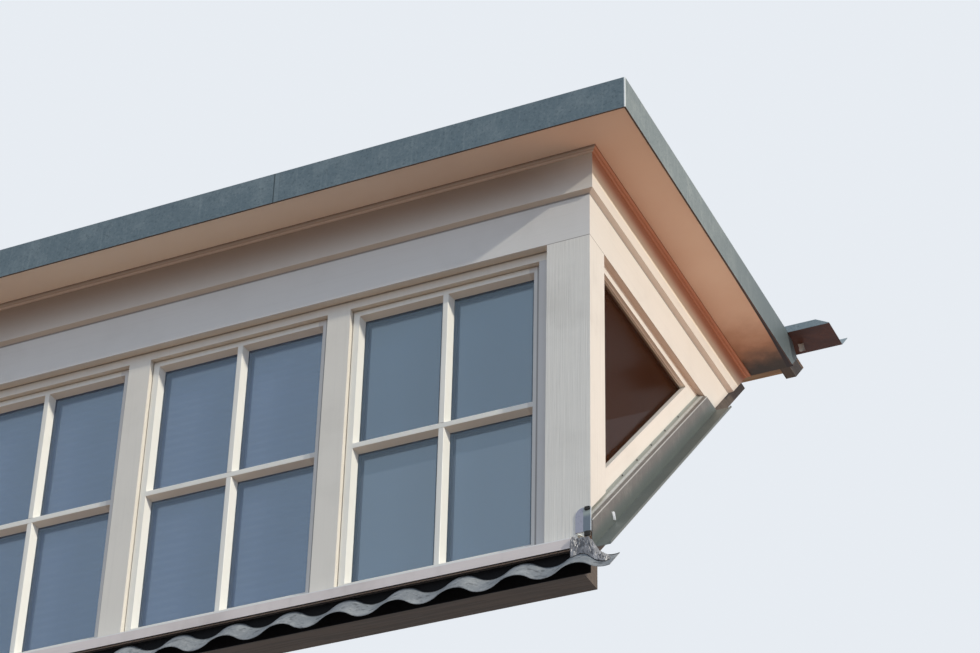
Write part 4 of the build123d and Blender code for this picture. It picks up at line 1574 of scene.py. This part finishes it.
@dataclass(frozen=True)
class PanelLamp:
    """A broad soft panel that the camera doesn't see, with its side in metres and its power in watts."""

    name: str
    centre: Triple
    shines: Triple
    side: float
    power: float
    colour: Colour

    def build(self) -> None:
        """Make the lamp."""
        data = bpy.data.lights.new(self.name, "AREA")
        data.energy = self.power
        data.color = self.colour
        data.size = self.side
        lamp = placed(self.name, data)
        turn = Vector(self.shines).to_track_quat("-Z", "Y").to_matrix().to_4x4()
        lamp.matrix_world = Matrix.Translation(self.centre) @ turn
        lamp.visible_camera = False


@dataclass
class Stage:
    """Floor, background, lamps and the camera at the photograph's viewing angle."""

    eye: Triple = (4.9865, -7.2300, -4.3509)
    yaw: float = math.radians(25.4934)
    pitch: float = math.radians(34.6234)
    roll: float = math.radians(1.3658)
    focal_pixels: float = 2587.8
    image_width: float = 980.0
    sensor: float = 36.0
    far: float = 200.0
    floor_height: float = -8.0
    floor_size: float = 60.0
    background: Colour = (0.80, 0.84, 0.89)
    ambient: Colour = (0.24, 0.285, 0.37)
    lamps: tuple[Union[DistantLamp, PanelLamp], ...] = (
        DistantLamp("key_lamp", (0.855, -0.245, 0.453), 2.45, (0.98, 0.94, 0.83), 1.2),
        DistantLamp("upper_fill", (0.12, -0.70, 0.70), 0.95, (0.60, 0.80, 1.0), 70.0, mirrored=False),
        PanelLamp("warm_fill", (3.75, 1.3, 0.0), (-0.62, 0.0, 0.78), 1.8, 16.0, (1.0, 0.52, 0.31)),
        PanelLamp("front_fill", (-1.6, -0.4, -1.6), (0.0, 0.0, 1.0), 2.4, 5.0, (1.0, 0.72, 0.52)))

    def camera(self) -> None:
        """Make the camera."""
        data = bpy.data.cameras.new("photo_camera")
        data.sensor_width = self.sensor
        data.lens = self.focal_pixels * self.sensor / self.image_width
        data.clip_end = self.far
        camera = placed("photo_camera", data)
        forward = Vector((-math.sin(self.yaw) * math.cos(self.pitch),
                          math.cos(self.yaw) * math.cos(self.pitch), math.sin(self.pitch)))
        right = Vector((math.cos(self.yaw), math.sin(self.yaw), 0.0))
        up = right.cross(forward)
        axis_x = math.cos(self.roll) * right + math.sin(self.roll) * up
        axis_y = -math.sin(self.roll) * right + math.cos(self.roll) * up
        turn = Matrix((axis_x, axis_y, -forward)).transposed().to_4x4()
        camera.matrix_world = Matrix.Translation(self.eye) @ turn
        bpy.context.scene.camera = camera

    def world(self) -> None:
        """Make the background that the camera and reflections see, and the plain light behind it."""
        world = bpy.data.worlds.new("studio")
        bpy.context.scene.world = world
        world.use_nodes = True
        tree = Tree(world.node_tree)
        colour = tree.mixed(tree.seen, self.ambient, self.background)
        surface = tree.add("ShaderNodeBackground", inputs={"Color": colour, "Strength": 1.0})
        tree.add("ShaderNodeOutputWorld", inputs={"Surface": surface})

    def floor(self) -> None:
        """Make the floor, far below the dormer."""
        mesh = bmesh.new()
        bmesh.ops.create_grid(mesh, x_segments=1, y_segments=1, size=self.floor_size)
        bmesh.ops.translate(mesh, vec=(0, 0, self.floor_height), verts=mesh.verts[:])
        data = bpy.data.meshes.new("floor")
        mesh.to_mesh(data)
        mesh.free()
        data.materials.append(FloorPaper().material())
        placed("floor", data)

    def build(self) -> None:
        """Make the whole stage."""
        self.camera()
        self.world()
        self.floor()
        for lamp in self.lamps:
            lamp.build()
        bpy.context.scene.view_settings.view_transform = "Standard"


def main() -> None:
    """Build the stage and every part of the dormer's looks, in order."""
    Stage().build()
    paints = Paints()
    paints.dress()
    bars = GlazingBars(paints.sash)
    for builder in (bars, GlassSpacers(bars), PleatedBlinds(), FlashingNails(), CornerLead(), SmallRepairs()):
        builder.build()
        log.info("built %s", type(builder).__name__)


if __name__ == "__main__":
    main()
